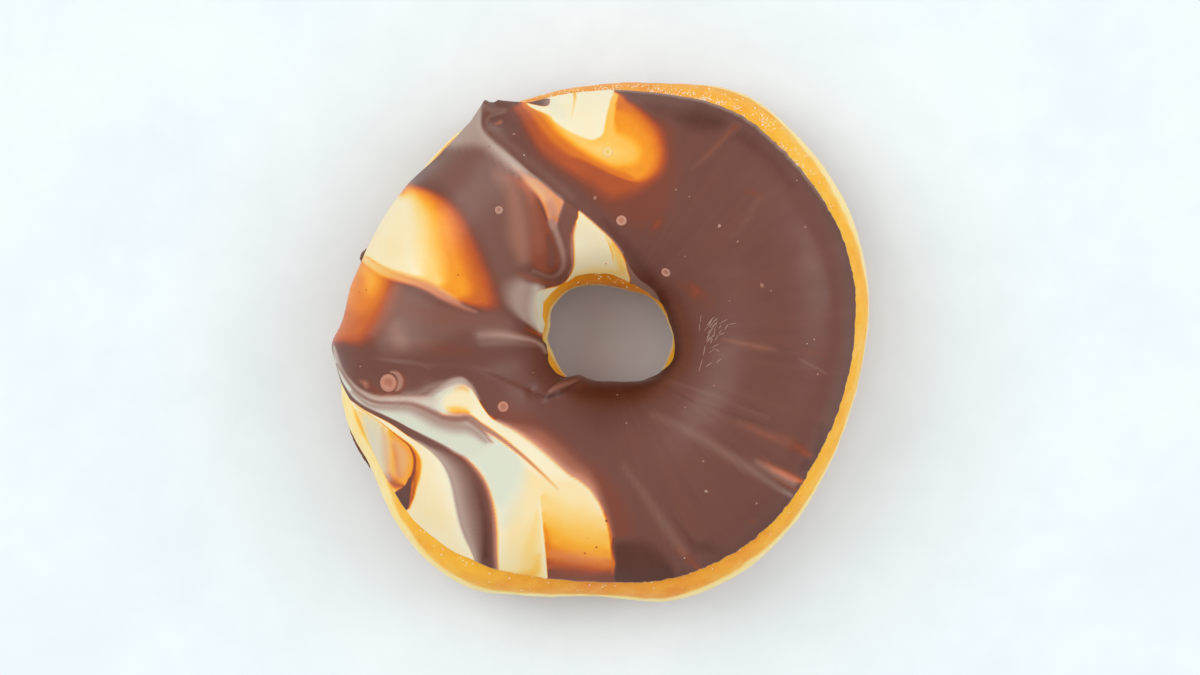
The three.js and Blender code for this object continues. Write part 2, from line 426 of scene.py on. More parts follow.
def dough_material():
    material, tree, shader = new_material(
        "fried_dough", Specular_IOR_Level=0.35, Subsurface_Weight=0.15, Subsurface_Scale=0.002,
    )
    fry = node(tree, "ShaderNodeAttribute", attribute_name="fried").outputs["Fac"]
    patches = mottling(tree, 2.4, 0.5, 0.5)
    shifted = maths(tree, "ADD", fry, maths(tree, "MULTIPLY", patches, 0.16))
    tree.links.new(ramp(tree, shifted, FRIED_COLOURS), shader.inputs["Base Color"])
    tree.links.new(remap(tree, patches, -0.4, 0.4, 0.38, 0.6), shader.inputs["Roughness"])
    grain = mottling(tree, 0.35, 0.12, 0.6)
    bump = node(tree, "ShaderNodeBump", {"Height": grain, "Strength": 0.25, "Distance": 0.0001})
    tree.links.new(bump.outputs[0], shader.inputs["Normal"])
    return material


fried_dough = dough_material()
grown(dough, crust_tree(), {
    "Dent": 0.5, "Dent size": 9.0, "Blister": 0.16, "Blister size": 2.4,
    "Wrinkle": 0.1, "Wrinkle size": 0.9, "Material": fried_dough,
})

# %% [markdown]
# ## The icing's coat
#
# The top was pressed into warm icing and lifted off, so the coat is thin at its edge, a little over a
# millimetre thick elsewhere, and drawn up into two tips where the last threads let go. A fold runs
# from each tip to the hole.
#
# The coat is a second grid over the dough. Its rows follow the section from the outer rim to the rim
# in the hole and come back inside the dough, so that it is closed.

# %% Driving sizes of the icing
# Heights at which the icing ends on the outside and in the hole, every 15 degrees
RIM_HEIGHT = np.array([
    23.2, 23.3, 24.0, 24.1, 23.9, 22.5, 21.3, 20.8, 21.0, 19.6, 11.5, 11.5,
    13.5, 21.6, 21.3, 23.0, 24.4, 23.7, 22.8, 23.9, 23.7, 23.5, 23.4, 22.8,
])
HOLE_RIM_HEIGHT = np.array([
    19.2, 18.9, 19.7, 19.9, 20.8, 21.6, 22.0, 22.0, 21.4, 21.6, 21.5, 20.3,
    20.1, 20.1, 20.0, 18.6, 14.0, 11.0, 11.0, 11.0, 12.0, 14.0, 17.9, 20.3,
])
# The rounded edge hangs this far below those heights
EDGE_HANGS = 0.5
HOLE_EDGE_HANGS = 0.4
# The coat stands this far off the dough at its rounded edge and further in
EDGE_THICKNESS = 0.75
COAT_THICKNESS = 1.35
EDGE_ROUNDING = 0.7
FULL_THICKNESS_AT = 7.0
# How far the coat's edge and its inner face are sunk into the dough
SUNK = 0.35
# Where the coat tore off in small teeth: how far they stand out, and the angles between which they do
TEETH = 0.16
TOOTHED_FROM, TOOTHED_TO = -82, 68

# The two tips, each with a bulge beside it. Rise and fall are the degrees over which each comes and goes
TIPS = [
    {"angle": 116, "reach": 1.8, "rise": 10, "fall": 5, "depth": 7},
    {"angle": 113.3, "reach": 1.1, "rise": 6, "fall": 2.2, "depth": 3},
    {"angle": 168, "reach": 0.6, "rise": 5, "fall": 6, "depth": 5},
    {"angle": 181.2, "reach": 0.5, "rise": 3, "fall": 12, "depth": 6},
]
TIP_SHARPNESS = 1.3

# %% Lay out the coat's lattice
BASE_ROWS = 256
MIDDLE_CELLS = 62
UNDER_CELLS = 4
# Each cell of the coat may be halved three times, so the lattice has eight steps to a cell
FINEST = 8
EDGE_STATIONS = np.array([0, 0.25, 0.6])
# The noise along the rim is read round a circle of this radius
RIM_RADIUS = 44


def finer(values):
    """Divides each step between the values into FINEST parts."""
    return np.interp(np.arange(FINEST * (len(values) - 1) + 1) / FINEST, np.arange(len(values)), values)


def top_stations(far):
    """Distances along the top of the coat, from its outer rim to its rim in the hole."""
    middle = np.linspace(1.0, far - 1.0, MIDDLE_CELLS + 1)
    return finer([*EDGE_STATIONS, *middle, *(far - EDGE_STATIONS[::-1])])


angle = np.linspace(0, TURN, BASE_ROWS * FINEST, endpoint=False)
signed_degrees = (np.degrees(angle) + 180) % 360 - 180
toothed = soft_step(TOOTHED_FROM - 8, TOOTHED_FROM + 8, signed_degrees)
toothed *= soft_step(TOOTHED_TO + 10, TOOTHED_TO - 10, signed_degrees)
rim_line = np.stack([RIM_RADIUS * np.cos(angle), RIM_RADIUS * np.sin(angle), 0 * angle], axis=-1)
teeth = 0.6 * wander(rim_line, 0.45, 5) + wander(rim_line, 1.3, 6)
rim_height = around(RIM_HEIGHT, angle) - EDGE_HANGS + TEETH * (0.25 + toothed) * teeth
rim_height += 0.2 * wander(rim_line, 4.0, 7)
hole_rim_height = around(HOLE_RIM_HEIGHT, angle) - HOLE_EDGE_HANGS + 0.35 * wander(rim_line, 5.0, 8)
rim = lift_at(angle, rim_height)
hole_rim = math.pi - lift_at(angle, hole_rim_height)
top_lifts, section_length = even_lifts(angle, rim, hole_rim, top_stations)
way_back = np.arange(1, UNDER_CELLS * FINEST) / (UNDER_CELLS * FINEST)
under_lifts = hole_rim[:, None] + (rim - hole_rim)[:, None] * way_back
lattice_lift = np.concatenate([top_lifts, under_lifts], axis=1)
from_rim = np.concatenate([[top_stations(far) for far in section_length], 0 * under_lifts], axis=1)
hollow = np.concatenate([0 * top_lifts, np.sin(math.pi * way_back) + 0 * under_lifts], axis=1)
LATTICE = lattice_lift.shape
shortest, longest = section_length.min().round(1), section_length.max().round(1)
print("lattice:", LATTICE, "for sections of", shortest, "to", longest, "mm")


# %% Where the coat's points lie and where they are seen
def rim_distance(row, column):
    """How far places of the lattice lie from the nearer rim, along the section."""
    return np.minimum(from_rim[row, column], section_length[row] - from_rim[row, column])


def tip_reach(row, column):
    """How far the tips and the bulges beside them push the rim out."""
    reach = np.zeros(len(row))
    for tip in TIPS:
        off = np.degrees(angle[row]) - tip["angle"]
        share = np.maximum(0, 1 - np.abs(off) / np.where(off < 0, tip["rise"], tip["fall"]))
        fading = np.exp(-((from_rim[row, column] / tip["depth"]) ** 2))
        reach += tip["reach"] * share ** TIP_SHARPNESS * fading
    return reach


def coat_points(row, column, raised=0.0):
    """The coat's surface at places of the lattice, raised further by its relief."""
    at, lift = angle[row], lattice_lift[row, column]
    from_edge = rim_distance(row, column)
    rounding = np.sqrt(1 - (1 - np.minimum(from_edge / EDGE_ROUNDING, 1)) ** 2)
    inland = soft_step(0, FULL_THICKNESS_AT, from_edge)
    thickness = EDGE_THICKNESS + (COAT_THICKNESS - EDGE_THICKNESS) * inland
    stand = (SUNK + thickness + raised) * rounding - SUNK * (1 + 1.2 * hollow[row, column])
    points = dough_point(at, lift) + outward(at, lift) * stand[:, None]
    push = tip_reach(row, column) * rounding
    points[:, 0] += push * np.cos(at)
    points[:, 1] += push * np.sin(at)
    return points


CAMERA_HEIGHT = 900
# The camera stands over this place, from the ring's middle
CAMERA_PLACE = np.array([-0.17, 0.42])
# Sizes of the drawing are true at this height, just under the crown
DRAWN_AT = 26.6


def seen_places(row, column, points):
    """Where points show in plan from the camera. Past the waist they are rolled out flat."""
    at, lift = angle[row], lattice_lift[row, column]
    radius = np.hypot(points[:, 0], points[:, 1])
    dough_radius = np.hypot(*dough_point(at, lift)[:, :2].T)
    rolled = np.where(lift < 0, 2 * (around(OUTSIDE, at) - dough_radius), 0)
    rolled += np.where(lift > math.pi, 2 * (around(HOLE, at) - dough_radius), 0)
    plan = points[:, :2] * (1 + rolled / radius)[:, None]
    nearer = (CAMERA_HEIGHT - DRAWN_AT) / (CAMERA_HEIGHT - np.maximum(points[:, 2], WAIST_HEIGHT))
    return CAMERA_PLACE + (plan - CAMERA_PLACE) * nearer[:, None]


# %% [markdown]
# ## Drawing on the icing
#
# Both the relief and the marbling are drawn as a maker would draw them, looking straight down: as lines
# with a width and as pools with an outline. Each point of a line or outline also says how soft its edge
# is there. A picture laid on as a texture would smear down the sides and could not be changed; a drawn
# line stays a line.
#
# Two numbers at each point of the coat are enough for every colour in it. Milk chocolate over white is
# a film: thick, it is brown, and as it thins it glows rust, orange and amber before it is cream. White
# chocolate over milk is a veil, and a thin veil looks taupe or lilac. A soft edge of a film gives the
# amber rim that the real streaks have, without drawing it.

# %% Smooth lines and how far places are from them
LINE_SPACING = 0.15


def smooth_line(rows, closed):
    """Points along a smooth line through rows of x, y and whatever else is carried along."""
    rows = np.array(rows, float)
    if closed:
        control = np.vstack([rows[-1:], rows, rows[:2]])
    else:
        control = np.vstack([2 * rows[0] - rows[1], rows, 2 * rows[-1] - rows[-2]])
    stretches = []
    for a, b, c, d in zip(control[:-3], control[1:-2], control[2:-1], control[3:]):
        count = max(2, int(math.hypot(*(c - b)[:2]) / LINE_SPACING))
        stretches.append(curve(a, b, c, d, (np.arange(count) / count)[:, None]))
    if not closed:
        stretches.append(rows[-1:])
    return np.vstack(stretches)


def nearest(line, x, y, chunk=3000):
    """For each place, the number of the nearest point of a line and the distance to it."""
    line_x, line_y = line[:, 0].astype(np.float32), line[:, 1].astype(np.float32)
    x, y = x.astype(np.float32), y.astype(np.float32)
    index = np.empty(len(x), int)
    distance = np.empty(len(x))
    for start in range(0, len(x), chunk):
        part = slice(start, start + chunk)
        square = (x[part, None] - line_x) ** 2 + (y[part, None] - line_y) ** 2
        index[part] = square.argmin(axis=1)
        distance[part] = np.sqrt(square.min(axis=1))
    return index, distance


def to_the_left(line, index, x, y, closed):
    """How far each place lies to the left of the line, square to it."""
    if closed:
        ahead, behind = line[(index + 1) % len(line)], line[index - 1]
    else:
        ahead, behind = line[np.minimum(index + 1, len(line) - 1)], line[np.maximum(index - 1, 0)]
    along = ahead[:, :2] - behind[:, :2]
    along /= np.linalg.norm(along, axis=1, keepdims=True)
    return along[:, 0] * (y - line[index, 1]) - along[:, 1] * (x - line[index, 0])


def inside(line, x, y):
    """Whether each place lies inside a closed line."""
    found = np.zeros(len(x), bool)
    for (x0, y0), (x1, y1) in zip(line[:, :2], np.roll(line[:, :2], -1, axis=0)):
        if y0 != y1:
            crosses = (y0 > y) != (y1 > y)
            found ^= crosses & (x < x0 + (y - y0) / (y1 - y0) * (x1 - x0))
    return found


def near(line, place, reach):
    """The places within reach of a line's own box."""
    low, high = line[:, :2].min(axis=0) - reach, line[:, :2].max(axis=0) + reach
    return np.flatnonzero(((place > low) & (place < high)).all(axis=1))


def depth_in(line, closed, place, reach=0.0):
    """Places near a stroke, how deep they lie inside its edge, its softness and the share of its length."""
    places = near(line, place, (line[:, 2] + line[:, 3]).max() + reach)
    x, y = place[places].T
    index, distance = nearest(line, x, y)
    if closed:
        # Between two points of the line the distance square to it is the right one
        aside = np.abs(to_the_left(line, index, x, y, True))
        between_points = np.sqrt(np.maximum(distance ** 2 - (0.6 * LINE_SPACING) ** 2, 0))
        depth = np.maximum(aside, between_points) * np.where(inside(line, x, y), 1, -1)
    else:
        depth = line[index, 2] - distance
    return places, depth, np.maximum(line[index, 3], 0.05), index / (len(line) - 1)


# %% [markdown]
# ## Relief of the icing
#
# Each fold is a ridge that is steep on one side and gentle on the other. Beside the first tip the
# icing sank into a small pit, and at the hole it was pinched into a pleat.

# %% Folds, steps and dents
# Rows are x, y, height, width to the left of the line and width to its right
MAIN_FOLDS = [
    [
        (-18.6, 38.4, 1.5, 1.1, 4), (-19.3, 35.9, 1.35, 1.2, 4.5), (-18.4, 33.7, 1.1, 1.5, 4.5),
        (-15, 30.3, 0.8, 1.8, 4), (-10.8, 26.7, 0.65, 1.8, 3.5), (-6.8, 23.4, 0.6, 1.8, 3),
        (-1.8, 19.7, 0.55, 1.8, 3), (2.5, 15.5, 0.55, 1.8, 2.5), (5.2, 11.5, 0.5, 1.6, 2),
        (9.4, 7.2, 0.3, 1.5, 1.5),
    ],
    [
        (-44.8, 0, 0.9, 2.2, 3.2), (-38, -0.4, 0.75, 2.6, 3.4), (-29, -0.9, 0.6, 2.4, 3.2),
        (-20, -0.6, 0.55, 2, 3), (-13.5, -0.2, 0.65, 1.3, 2.6), (-10, -1, 0.8, 0.9, 2.2),
    ],
    [
        (-3.6, -6.3, 0.6, 1.3, 0.5), (-6.7, -7.3, 0.95, 1.5, 0.5), (-8.2, -8, 0.95, 1.4, 0.5),
        (-9.2, -9.1, 0.6, 0.9, 0.6),
    ],
]
SMALL_FOLDS = {
    "crease": [
        (-43.8, -1.6, 0.1, 0.6, 1.4), (-37.6, -3.4, 0.14, 0.6, 1.6), (-30.2, -4.4, 0.16, 0.55, 1.6),
        (-21.4, -5.1, 0.18, 0.5, 1.6), (-14.7, -7.7, 0.2, 0.5, 1.6), (-11.2, -9.2, 0.22, 0.5, 1.4),
    ],
    "low fold": [
        (-38.2, 13.5, 0.16, 1.4, 0.45), (-33.3, 11.05, 0.16, 1.6, 0.45), (-28.6, 9.7, 0.15, 1.6, 0.5),
        (-21.5, 5.6, 0.1, 1.4, 0.6),
    ],
    "white ridge": [
        (-10.6, -26.5, 0.05, 0.3, 0.5), (-9.8, -31.6, 0.16, 0.25, 0.6), (-9.3, -38, 0.2, 0.25, 0.7),
        (-9, -41.6, 0.2, 0.25, 0.7),
    ],
    "sheen fold": [
        (34.5, 14.5, 0.05, 4, 1.5), (29, 11.5, 0.14, 4, 1.5), (22, 10, 0.1, 3.5, 1.5),
        (14, 9, 0.05, 3, 1.5),
    ],
}
# Dents as x, y, depth and size
DENTS = [(-17.2, 37.2, 0.9, 1.7), (-15.7, 35.4, 0.5, 1.5), (-11.4, -8.7, 0.4, 1.1)]
MAIN_FOLDS = [smooth_line(rows, False) for rows in MAIN_FOLDS]
SMALL_FOLDS = {name: smooth_line(rows, False) for name, rows in SMALL_FOLDS.items()}


def ridge(line, place):
    """How far a fold raises each place."""
    places = near(line, place, 3 * line[:, 3:].max())
    x, y = place[places].T
    index, distance = nearest(line, x, y)
    left = to_the_left(line, index, x, y, False) > 0
    width = np.where(left, line[index, 3], line[index, 4])
    raised = np.zeros(len(place))
    raised[places] = line[index, 2] * np.exp(-((distance / width) ** 2))
    return raised


def relief(place):
    """How far folds, dents and slight waves raise each place."""
    raised = np.maximum.reduce([ridge(line, place) for line in MAIN_FOLDS])
    raised += sum(ridge(line, place) for line in SMALL_FOLDS.values())
    for x, y, depth, size in DENTS:
        raised -= depth * np.exp(-(((place - (x, y)) ** 2).sum(axis=1) / size ** 2))
    flat = np.column_stack([place, 0 * place[:, 0]])
    return raised + 0.12 * wander(flat, 8.0, 9) + 0.04 * wander(flat, 3.0, 10)


# %% [markdown]
# ## The marbling
#
# The pools and lines below are drawn in the order in which they lie on each other. The rows of a pool
# are x, y and softness round its outline; the rows of a line are x, y, half its width and softness.
# Lines that several strokes share have names of their own.

# %% Tools to draw with
STROKES = []


def pour(layer, value, rows):
    """Fills a pool with a value of film or veil."""
    line = smooth_line([(x, y, 0, soft) for x, y, soft in rows], True)
    STROKES.append((layer, value, line, True))


def draw(layer, value, rows):
    """Draws a line of a value of film or veil, or of two values from its start to its end."""
    STROKES.append((layer, value, smooth_line(rows, False), False))


def draw_both(rows, film, veil):
    """Draws one line of film, and of veil over it."""
    draw("film", film, rows)
    draw("veil", veil, rows)


def edge(points, soft):
    """Rows of a pool along a shared line."""
    return [(x, y, soft) for x, y in points]


# %% The amber pool beside the first tip
pour("film", 0.84, [
    (-14.5, 38.6, 0.8), (-8, 36, 1), (5, 36, 1), (11.5, 36, 1), (12.5, 31, 1.5), (12.5, 26, 2),
    (10.5, 21, 2.2), (6.5, 18.5, 2.2), (2.5, 20.5, 1.5), (-0.9, 22.8, 0.9), (-4.1, 25.9, 0.8),
    (-7.6, 28.2, 0.7), (-10.2, 30.4, 0.7), (-12.4, 33.7, 0.6), (-13.6, 36.2, 0.6),
])
pour("film", 0.62, [
    (-14.6, 39, 0.7), (-10, 40, 0.7), (2, 41, 0.7), (4.6, 39.9, 0.8), (7.4, 38.2, 0.8), (10, 35.3, 0.9),
    (11, 31.5, 0.9), (10.4, 28, 1), (8, 25.8, 1), (4.5, 24, 1.6), (1.5, 23.6, 1.5), (-2, 25.8, 1.2),
    (-4.8, 27.6, 1), (-9.4, 30.8, 0.8), (-12.4, 35, 0.8), (-13.4, 37, 0.8),
])
pour("film", 0.46, [
    (-13.2, 39.7, 0.5), (-8, 41, 0.5), (1.9, 41.3, 0.4), (4.4, 39.7, 0.7), (7.3, 37.3, 0.9), (9.4, 34.4, 1),
    (10.2, 31.2, 1), (9.6, 28.6, 0.8), (7.9, 26.9, 0.5), (6, 26.3, 0.3), (3, 27, 0.3), (0, 28.4, 0.4),
    (-3, 29.9, 0.5), (-5.8, 31, 0.7), (-8.2, 32.9, 0.8), (-10, 35, 0.8), (-11.8, 37.6, 0.6),
])
pour("film", 0.37, [
    (-12.6, 39.6, 0.25), (-8, 41, 0.5), (1.9, 41.3, 0.4), (2.7, 40, 0.2), (2.7, 38.4, 0.3), (4, 38.1, 0.9),
    (6.4, 36.6, 1.2), (8.5, 33.8, 1.2), (9.1, 31, 1.1), (8.4, 28.6, 0.8), (6.3, 26.8, 0.35), (4.5, 27.6, 0.4),
    (2, 28.4, 0.4), (-1.2, 29.9, 0.4), (-4.2, 31.8, 0.4), (-7, 34, 0.4), (-9.4, 36.7, 0.4),
    (-11.2, 38.6, 0.25),
])
pour("film", 0.23, [
    (-12.4, 39.7, 0.2), (-8, 41, 0.5), (1.9, 41.3, 0.2), (2.3, 39, 0.2), (2.2, 36.5, 0.25), (2.6, 34.6, 0.8),
    (4.6, 33.6, 1.2), (6.2, 32, 1.3), (6, 29.9, 1.2), (4.2, 29.1, 0.8), (1.8, 29.2, 0.6), (-1, 30.6, 0.5),
    (-4, 32.4, 0.5), (-6.4, 34.3, 0.5), (-8.6, 36.8, 0.3), (-10.4, 38.5, 0.2),
])
draw("film", 0.17, [(-5.5, 34.6, 0.1, 0.6), (-2, 32.4, 0.4, 0.8), (1, 31.4, 0.8, 1), (3.5, 31.2, 0.3, 1)])
pour("film", 0, [
    (-12.2, 39.25, 0.15), (-8.7, 37.45, 0.2), (-7.6, 36.3, 0.25), (-5, 34.6, 0.25), (-2, 33.4, 0.3),
    (-0.6, 33.65, 0.3), (0.3, 34.4, 0.2), (0.65, 36, 0.15), (1, 37.8, 0.15), (1.5, 39.7, 0.15),
    (1.8, 42.5, 0.15), (-5, 43, 0.2), (-10, 41.5, 0.2),
])
draw("veil", 0.3, [(-8.5, 39.5, 1, 0.8), (-6.5, 37.5, 1, 0.8)])
draw("film", (0.3, 0.12), [
    (-4.45, 41.6, 0.3, 0.2), (-4.35, 40.4, 0.22, 0.2), (-4.45, 39.5, 0.15, 0.2), (-4.9, 36.9, 0.05, 0.2),
])
pour("film", 1, [
    (-13.2, 40, 0.1), (-9, 40.2, 0.12), (-8.55, 39.75, 0.12), (-8.75, 39.2, 0.12), (-9.4, 38.95, 0.15),
    (-10.8, 39.15, 0.15), (-12.2, 39.5, 0.12),
])
draw("film", 0.62, [
    (-4, 30.2, 0.02, 0.15), (-1, 28.7, 0.06, 0.2), (1.7, 27.4, 0.1, 0.2), (5, 26.2, 0.1, 0.25),
])
draw("film", 0.68, [(8.9, 18.6, 0.4, 0.8), (9.6, 19.6, 0.5, 0.8)])

# %% The veil that falls from the first tip, along the crest of its fold
CREST = [
    (-20, 39.1), (-20, 36), (-19.5, 34.6), (-17.7, 32.8), (-15.2, 30.8), (-12.7, 28.65), (-9.8, 26.2),
    (-7.2, 24), (-5.85, 22.9), (-4.5, 22), (-3.65, 21.5), (-1.9, 20.15), (-0.15, 18.6), (1.4, 17.2),
    (2.5, 16), (3.6, 14.4), (4.5, 12.9), (5.1, 11.6), (6.4, 10.05), (8, 8.95), (9.5, 7.2),
]
draw("veil", 0.08, [(x + 1.1, y + 0.9, 0.5, 0.7) for x, y in CREST[2:9]])
draw("veil", 0.14, [(-19.6, 39, 0.5, 0.6), (-17.8, 38.3, 0.5, 0.6), (-16, 38.3, 0.3, 0.5)])
# Painted reflections in the dent beside the first tip: a light arc of veil, a red spot and a faint veil below
# them
draw("veil", 0.2, [(-19.1, 36.3, 0.08, 0.35), (-18.4, 37.3, 0.12, 0.35), (-16, 38, 0.1, 0.35)])
painted_pit_reflection = [(-17.5, 36, 0.2, 0.35), (-16.7, 36.3, 0.3, 0.35)]
draw_both(painted_pit_reflection, 0.6, 0.16)
draw("veil", 0.12, [(-18.6, 35.5, 0.4, 0.6), (-17, 35, 0.4, 0.6)])
pour("veil", 0.06, [
    (-29.5, 31.5, 0.6), (-24, 33, 1), (-18, 30.5, 1), (-13, 27, 0.8), (-11.5, 24, 1.2), (-12, 17, 1.5),
    (-13, 12, 1.5), (-16.5, 9, 1.5), (-19, 14, 1.5), (-21.5, 19, 1.5), (-25, 24.5, 1.2), (-29, 27.5, 1),
])
tan_field = [
    (-17, 27.6, 0.8, 1.5), (-15, 25.4, 1.3, 1.5), (-14, 21, 1.6, 1.5), (-13.6, 17, 1.7, 1.5),
    (-13, 13.8, 1, 1.3),
]
draw_both(tan_field, 0.76, 0.2)
golden_side = [
    (-15.4, 27.4, 0.3, 0.8), (-13.6, 26.2, 0.6, 0.8), (-12.2, 24.8, 0.6, 0.8), (-11.4, 22.8, 0.3, 0.8),
]
draw_both(golden_side, 0.64, 0.14)
pour("veil", 0.5, [
    *edge(CREST[:7], 0.25), (-11.4, 26.4, 0.5), (-13.4, 27.4, 0.6), (-15.4, 28.8, 0.9), (-17.4, 30.5, 1.1),
    (-19.6, 32, 1.2), (-22, 32.4, 1.1), (-24.6, 32.2, 0.9), (-27.4, 32.2, 0.7), (-27.8, 33.4, 0.5),
    (-24, 36.8, 0.5), (-21.5, 39.5, 0.5),
])
draw("veil", (0.55, 0.76), [
    (-20.4, 38.6, 0.1, 0.4), (-20.4, 36.4, 0.2, 0.5), (-20.1, 34.9, 0.3, 0.7), (-18.6, 33, 0.4, 0.9),
    (-16.4, 31, 0.5, 0.9), (-14.4, 29.2, 0.5, 0.8), (-12.8, 27.9, 0.4, 0.6),
])
draw("film", 0.42, [
    (-15.4, 29.6, 0.1, 0.8), (-13.6, 28.2, 0.4, 0.7), (-12, 26.8, 0.6, 0.6), (-10.4, 25.4, 0.7, 0.5),
])

# %% The teardrop by the hole
pour("film", 0.75, [
    (-12.2, 25.6, 0.4), (-11, 24.6, 0.25), (-9.6, 21.2, 0.2), (-8.2, 17.8, 0.2), (-7.1, 14.6, 0.2),
    (-6.9, 13, 0.2), (-7.2, 11.9, 0.25), (-8.4, 11.2, 0.3), (-10.2, 11.4, 0.4), (-11.8, 12.6, 0.8),
    (-12.4, 15.5, 1.2), (-12.2, 19, 1.3), (-12.6, 22.5, 1),
])
draw("film", 0.62, [(-13.3, 26.2, 0.3, 0.8), (-12.2, 24.8, 0.4, 0.8), (-11.4, 23.2, 0.3, 0.8)])
draw("veil", 0.08, [(-11.4, 22, 0.6, 1.2), (-10.6, 18, 0.8, 1.4), (-10.4, 15, 0.6, 1.2)])
draw("film", 1.02, [(-8.8, 17.2, 0.1, 0.8), (-8.1, 14.6, 0.4, 1), (-8.3, 12.6, 0.4, 0.9)])
pour("film", 0.4, [
    (-13.1, 27.4, 0.6), (-11.2, 27, 0.2), (-9.6, 26, 0.2), (-7.2, 23.95, 0.2), (-6.2, 23.1, 0.2),
    (-6.4, 22.2, 0.3), (-6.8, 21.1, 0.35), (-7.4, 19.3, 0.35), (-8, 18.4, 0.35), (-8.7, 19.6, 0.3),
    (-9.8, 22.6, 0.3), (-10.5, 24, 0.35), (-11.5, 25.2, 0.45), (-12.6, 26.4, 0.6),
])
draw("film", 0.33, [
    (-12.4, 26.4, 0.2, 0.7), (-11, 25.4, 0.5, 0.7), (-9.9, 24, 0.5, 0.6), (-9.2, 22.6, 0.2, 0.5),
])
draw("film", 0.54, [(-8.4, 22.6, 0.5, 0.8), (-7.9, 20.8, 0.5, 0.6), (-7.8, 19.2, 0.3, 0.4)])
draw("veil", (0.55, 0.36), [
    (-13.2, 27.9, 0.4, 0.7), (-11.4, 26.2, 0.8, 0.8), (-9.6, 24.6, 1, 0.8), (-8.2, 22.6, 1.1, 0.7),
    (-7.9, 20.6, 0.9, 0.5), (-7.9, 19, 0.6, 0.4),
])
orange_spot = [(-7.8, 20.4, 0.25, 0.35), (-7.3, 20, 0.2, 0.35)]
draw_both(orange_spot, 0.44, 0.1)
draw("veil", 0.4, [
    (-11.6, 27.1, 0.05, 0.3), (-9.6, 26, 0.15, 0.35), (-8, 24.6, 0.2, 0.4), (-6.6, 23.2, 0.35, 0.4),
    (-6.6, 21.8, 0.25, 0.4), (-7, 20.6, 0.1, 0.3),
])
# A dark ring round the teardrop
RING_OUTER = [
    (-5.85, 22.9), (-4.5, 22), (-3.75, 21.5), (-3.9, 20.4), (-4.4, 19.3), (-4.85, 17.7), (-4.8, 16),
    (-4.7, 13.8), (-4.8, 12), (-5.2, 10.8), (-6.1, 9.65), (-7.2, 9.05), (-8.5, 8.75),
]
ring = [
    *edge(RING_OUTER, 0.14), (-10.2, 9.2, 0.3), (-11.8, 9.75, 0.4), (-13.5, 10.4, 0.6), (-12.5, 11.4, 0.5),
    (-10.3, 10.5, 0.3), (-8.4, 10, 0.25), (-6.8, 10.4, 0.2), (-5.8, 11.8, 0.2), (-5.6, 14, 0.2),
    (-5.9, 16, 0.2), (-6.5, 18, 0.25), (-6.9, 19.6, 0.25), (-6.6, 21.2, 0.25),
]
pour("film", 0.92, ring)
pour("veil", 0.06, ring)
draw("film", 0.7, [
    (-7.5, 9.5, 0.1, 0.4), (-9.5, 9.6, 0.25, 0.4), (-11.8, 10.3, 0.3, 0.5), (-13.8, 11, 0.2, 0.6),
])
draw("film", 0.55, [(-5.15, 17.6, 0.1, 0.3), (-4.95, 17.2, 0.1, 0.3)])
pink_line = [
    (-8.3, 19.6, 0.4, 0.5), (-7.5, 18, 0.45, 0.5), (-6.6, 15.4, 0.45, 0.5), (-6.2, 13.4, 0.4, 0.5),
    (-6.4, 11.9, 0.35, 0.5), (-7.2, 10.9, 0.25, 0.5), (-8.6, 10.5, 0.15, 0.5), (-11.3, 11.5, 0.05, 0.5),
]
draw_both(pink_line, 0.78, (0.42, 0.2))

# %% The cream triangle and the lilac veil by the hole
pour("veil", 0.55, [
    (-15.5, 8.4, 2.04), (-14, 10, 1.36), (-12.2, 9.6, 0.68), (-10.2, 9.1, 0.42), (-9.2, 8.6, 0.34),
    (-8.4, 5, 0.51), (-8.8, 1.5, 0.51), (-10, 1, 0.34), (-10.7, 1.5, 0.26), (-11.9, 2.5, 0.34),
    (-13.7, 4, 0.68), (-15.2, 6, 1.36),
])
draw("veil", 0.9, [
    (-10.7, 8.6, 0.5, 0.9), (-11, 6, 0.8, 1.1), (-10.9, 3.7, 0.7, 0.8), (-10.4, 2.2, 0.4, 0.4),
])
draw("film", 0.62, [(-12.6, 1.9, 0.1, 0.3), (-11.2, 1.3, 0.25, 0.35), (-9.9, 0.75, 0.35, 0.35)])
pour("film", 0.03, [
    *edge(CREST[10:16], 0.25), (4.15, 13, 0.3), (4.5, 11.6, 0.3), (5, 10.2, 0.3), (5.2, 8, 0.3),
    (0, 6.5, 0.3), (-5, 5.5, 0.3), (-6.5, 2, 0.3), (-7.5, 0.5, 0.3), (-9.9, 1.2, 0.2), (-10.6, 2, 0.3),
    (-10.9, 3.9, 0.7), (-11.2, 6, 0.8), (-10.7, 8.1, 0.5), (-9.3, 8.5, 0.2), *edge(RING_OUTER[:2:-1], 0.25),
])
pour("veil", 0, [
    (-3.65, 22, 0.2), (1.4, 17.6, 0.2), (4.2, 13, 0.2), (5.2, 8, 0.3), (0, 6.5, 0.3), (-5, 5.5, 0.3),
    (-6.5, 2, 0.3), (-7.5, 0.5, 0.3), (-9, 1.2, 0.5), (-9.3, 4, 0.7), (-9.2, 7.2, 0.7), (-8.6, 8.7, 0.2),
    *edge(RING_OUTER[11:2:-1], 0.12),
])
draw("film", 0.66, [
    (-4.3, 19.4, 0.1, 0.3), (-4.8, 17.4, 0.25, 0.35), (-4.8, 15, 0.3, 0.35), (-4.75, 12.4, 0.2, 0.35),
    (-5.3, 10.8, 0.1, 0.25),
])
draw("veil", 0.34, [
    (-4.4, 19, 0.1, 0.4), (-4.8, 16, 0.25, 0.45), (-4.75, 12.6, 0.15, 0.4), (-5.4, 10.8, 0.1, 0.3),
])
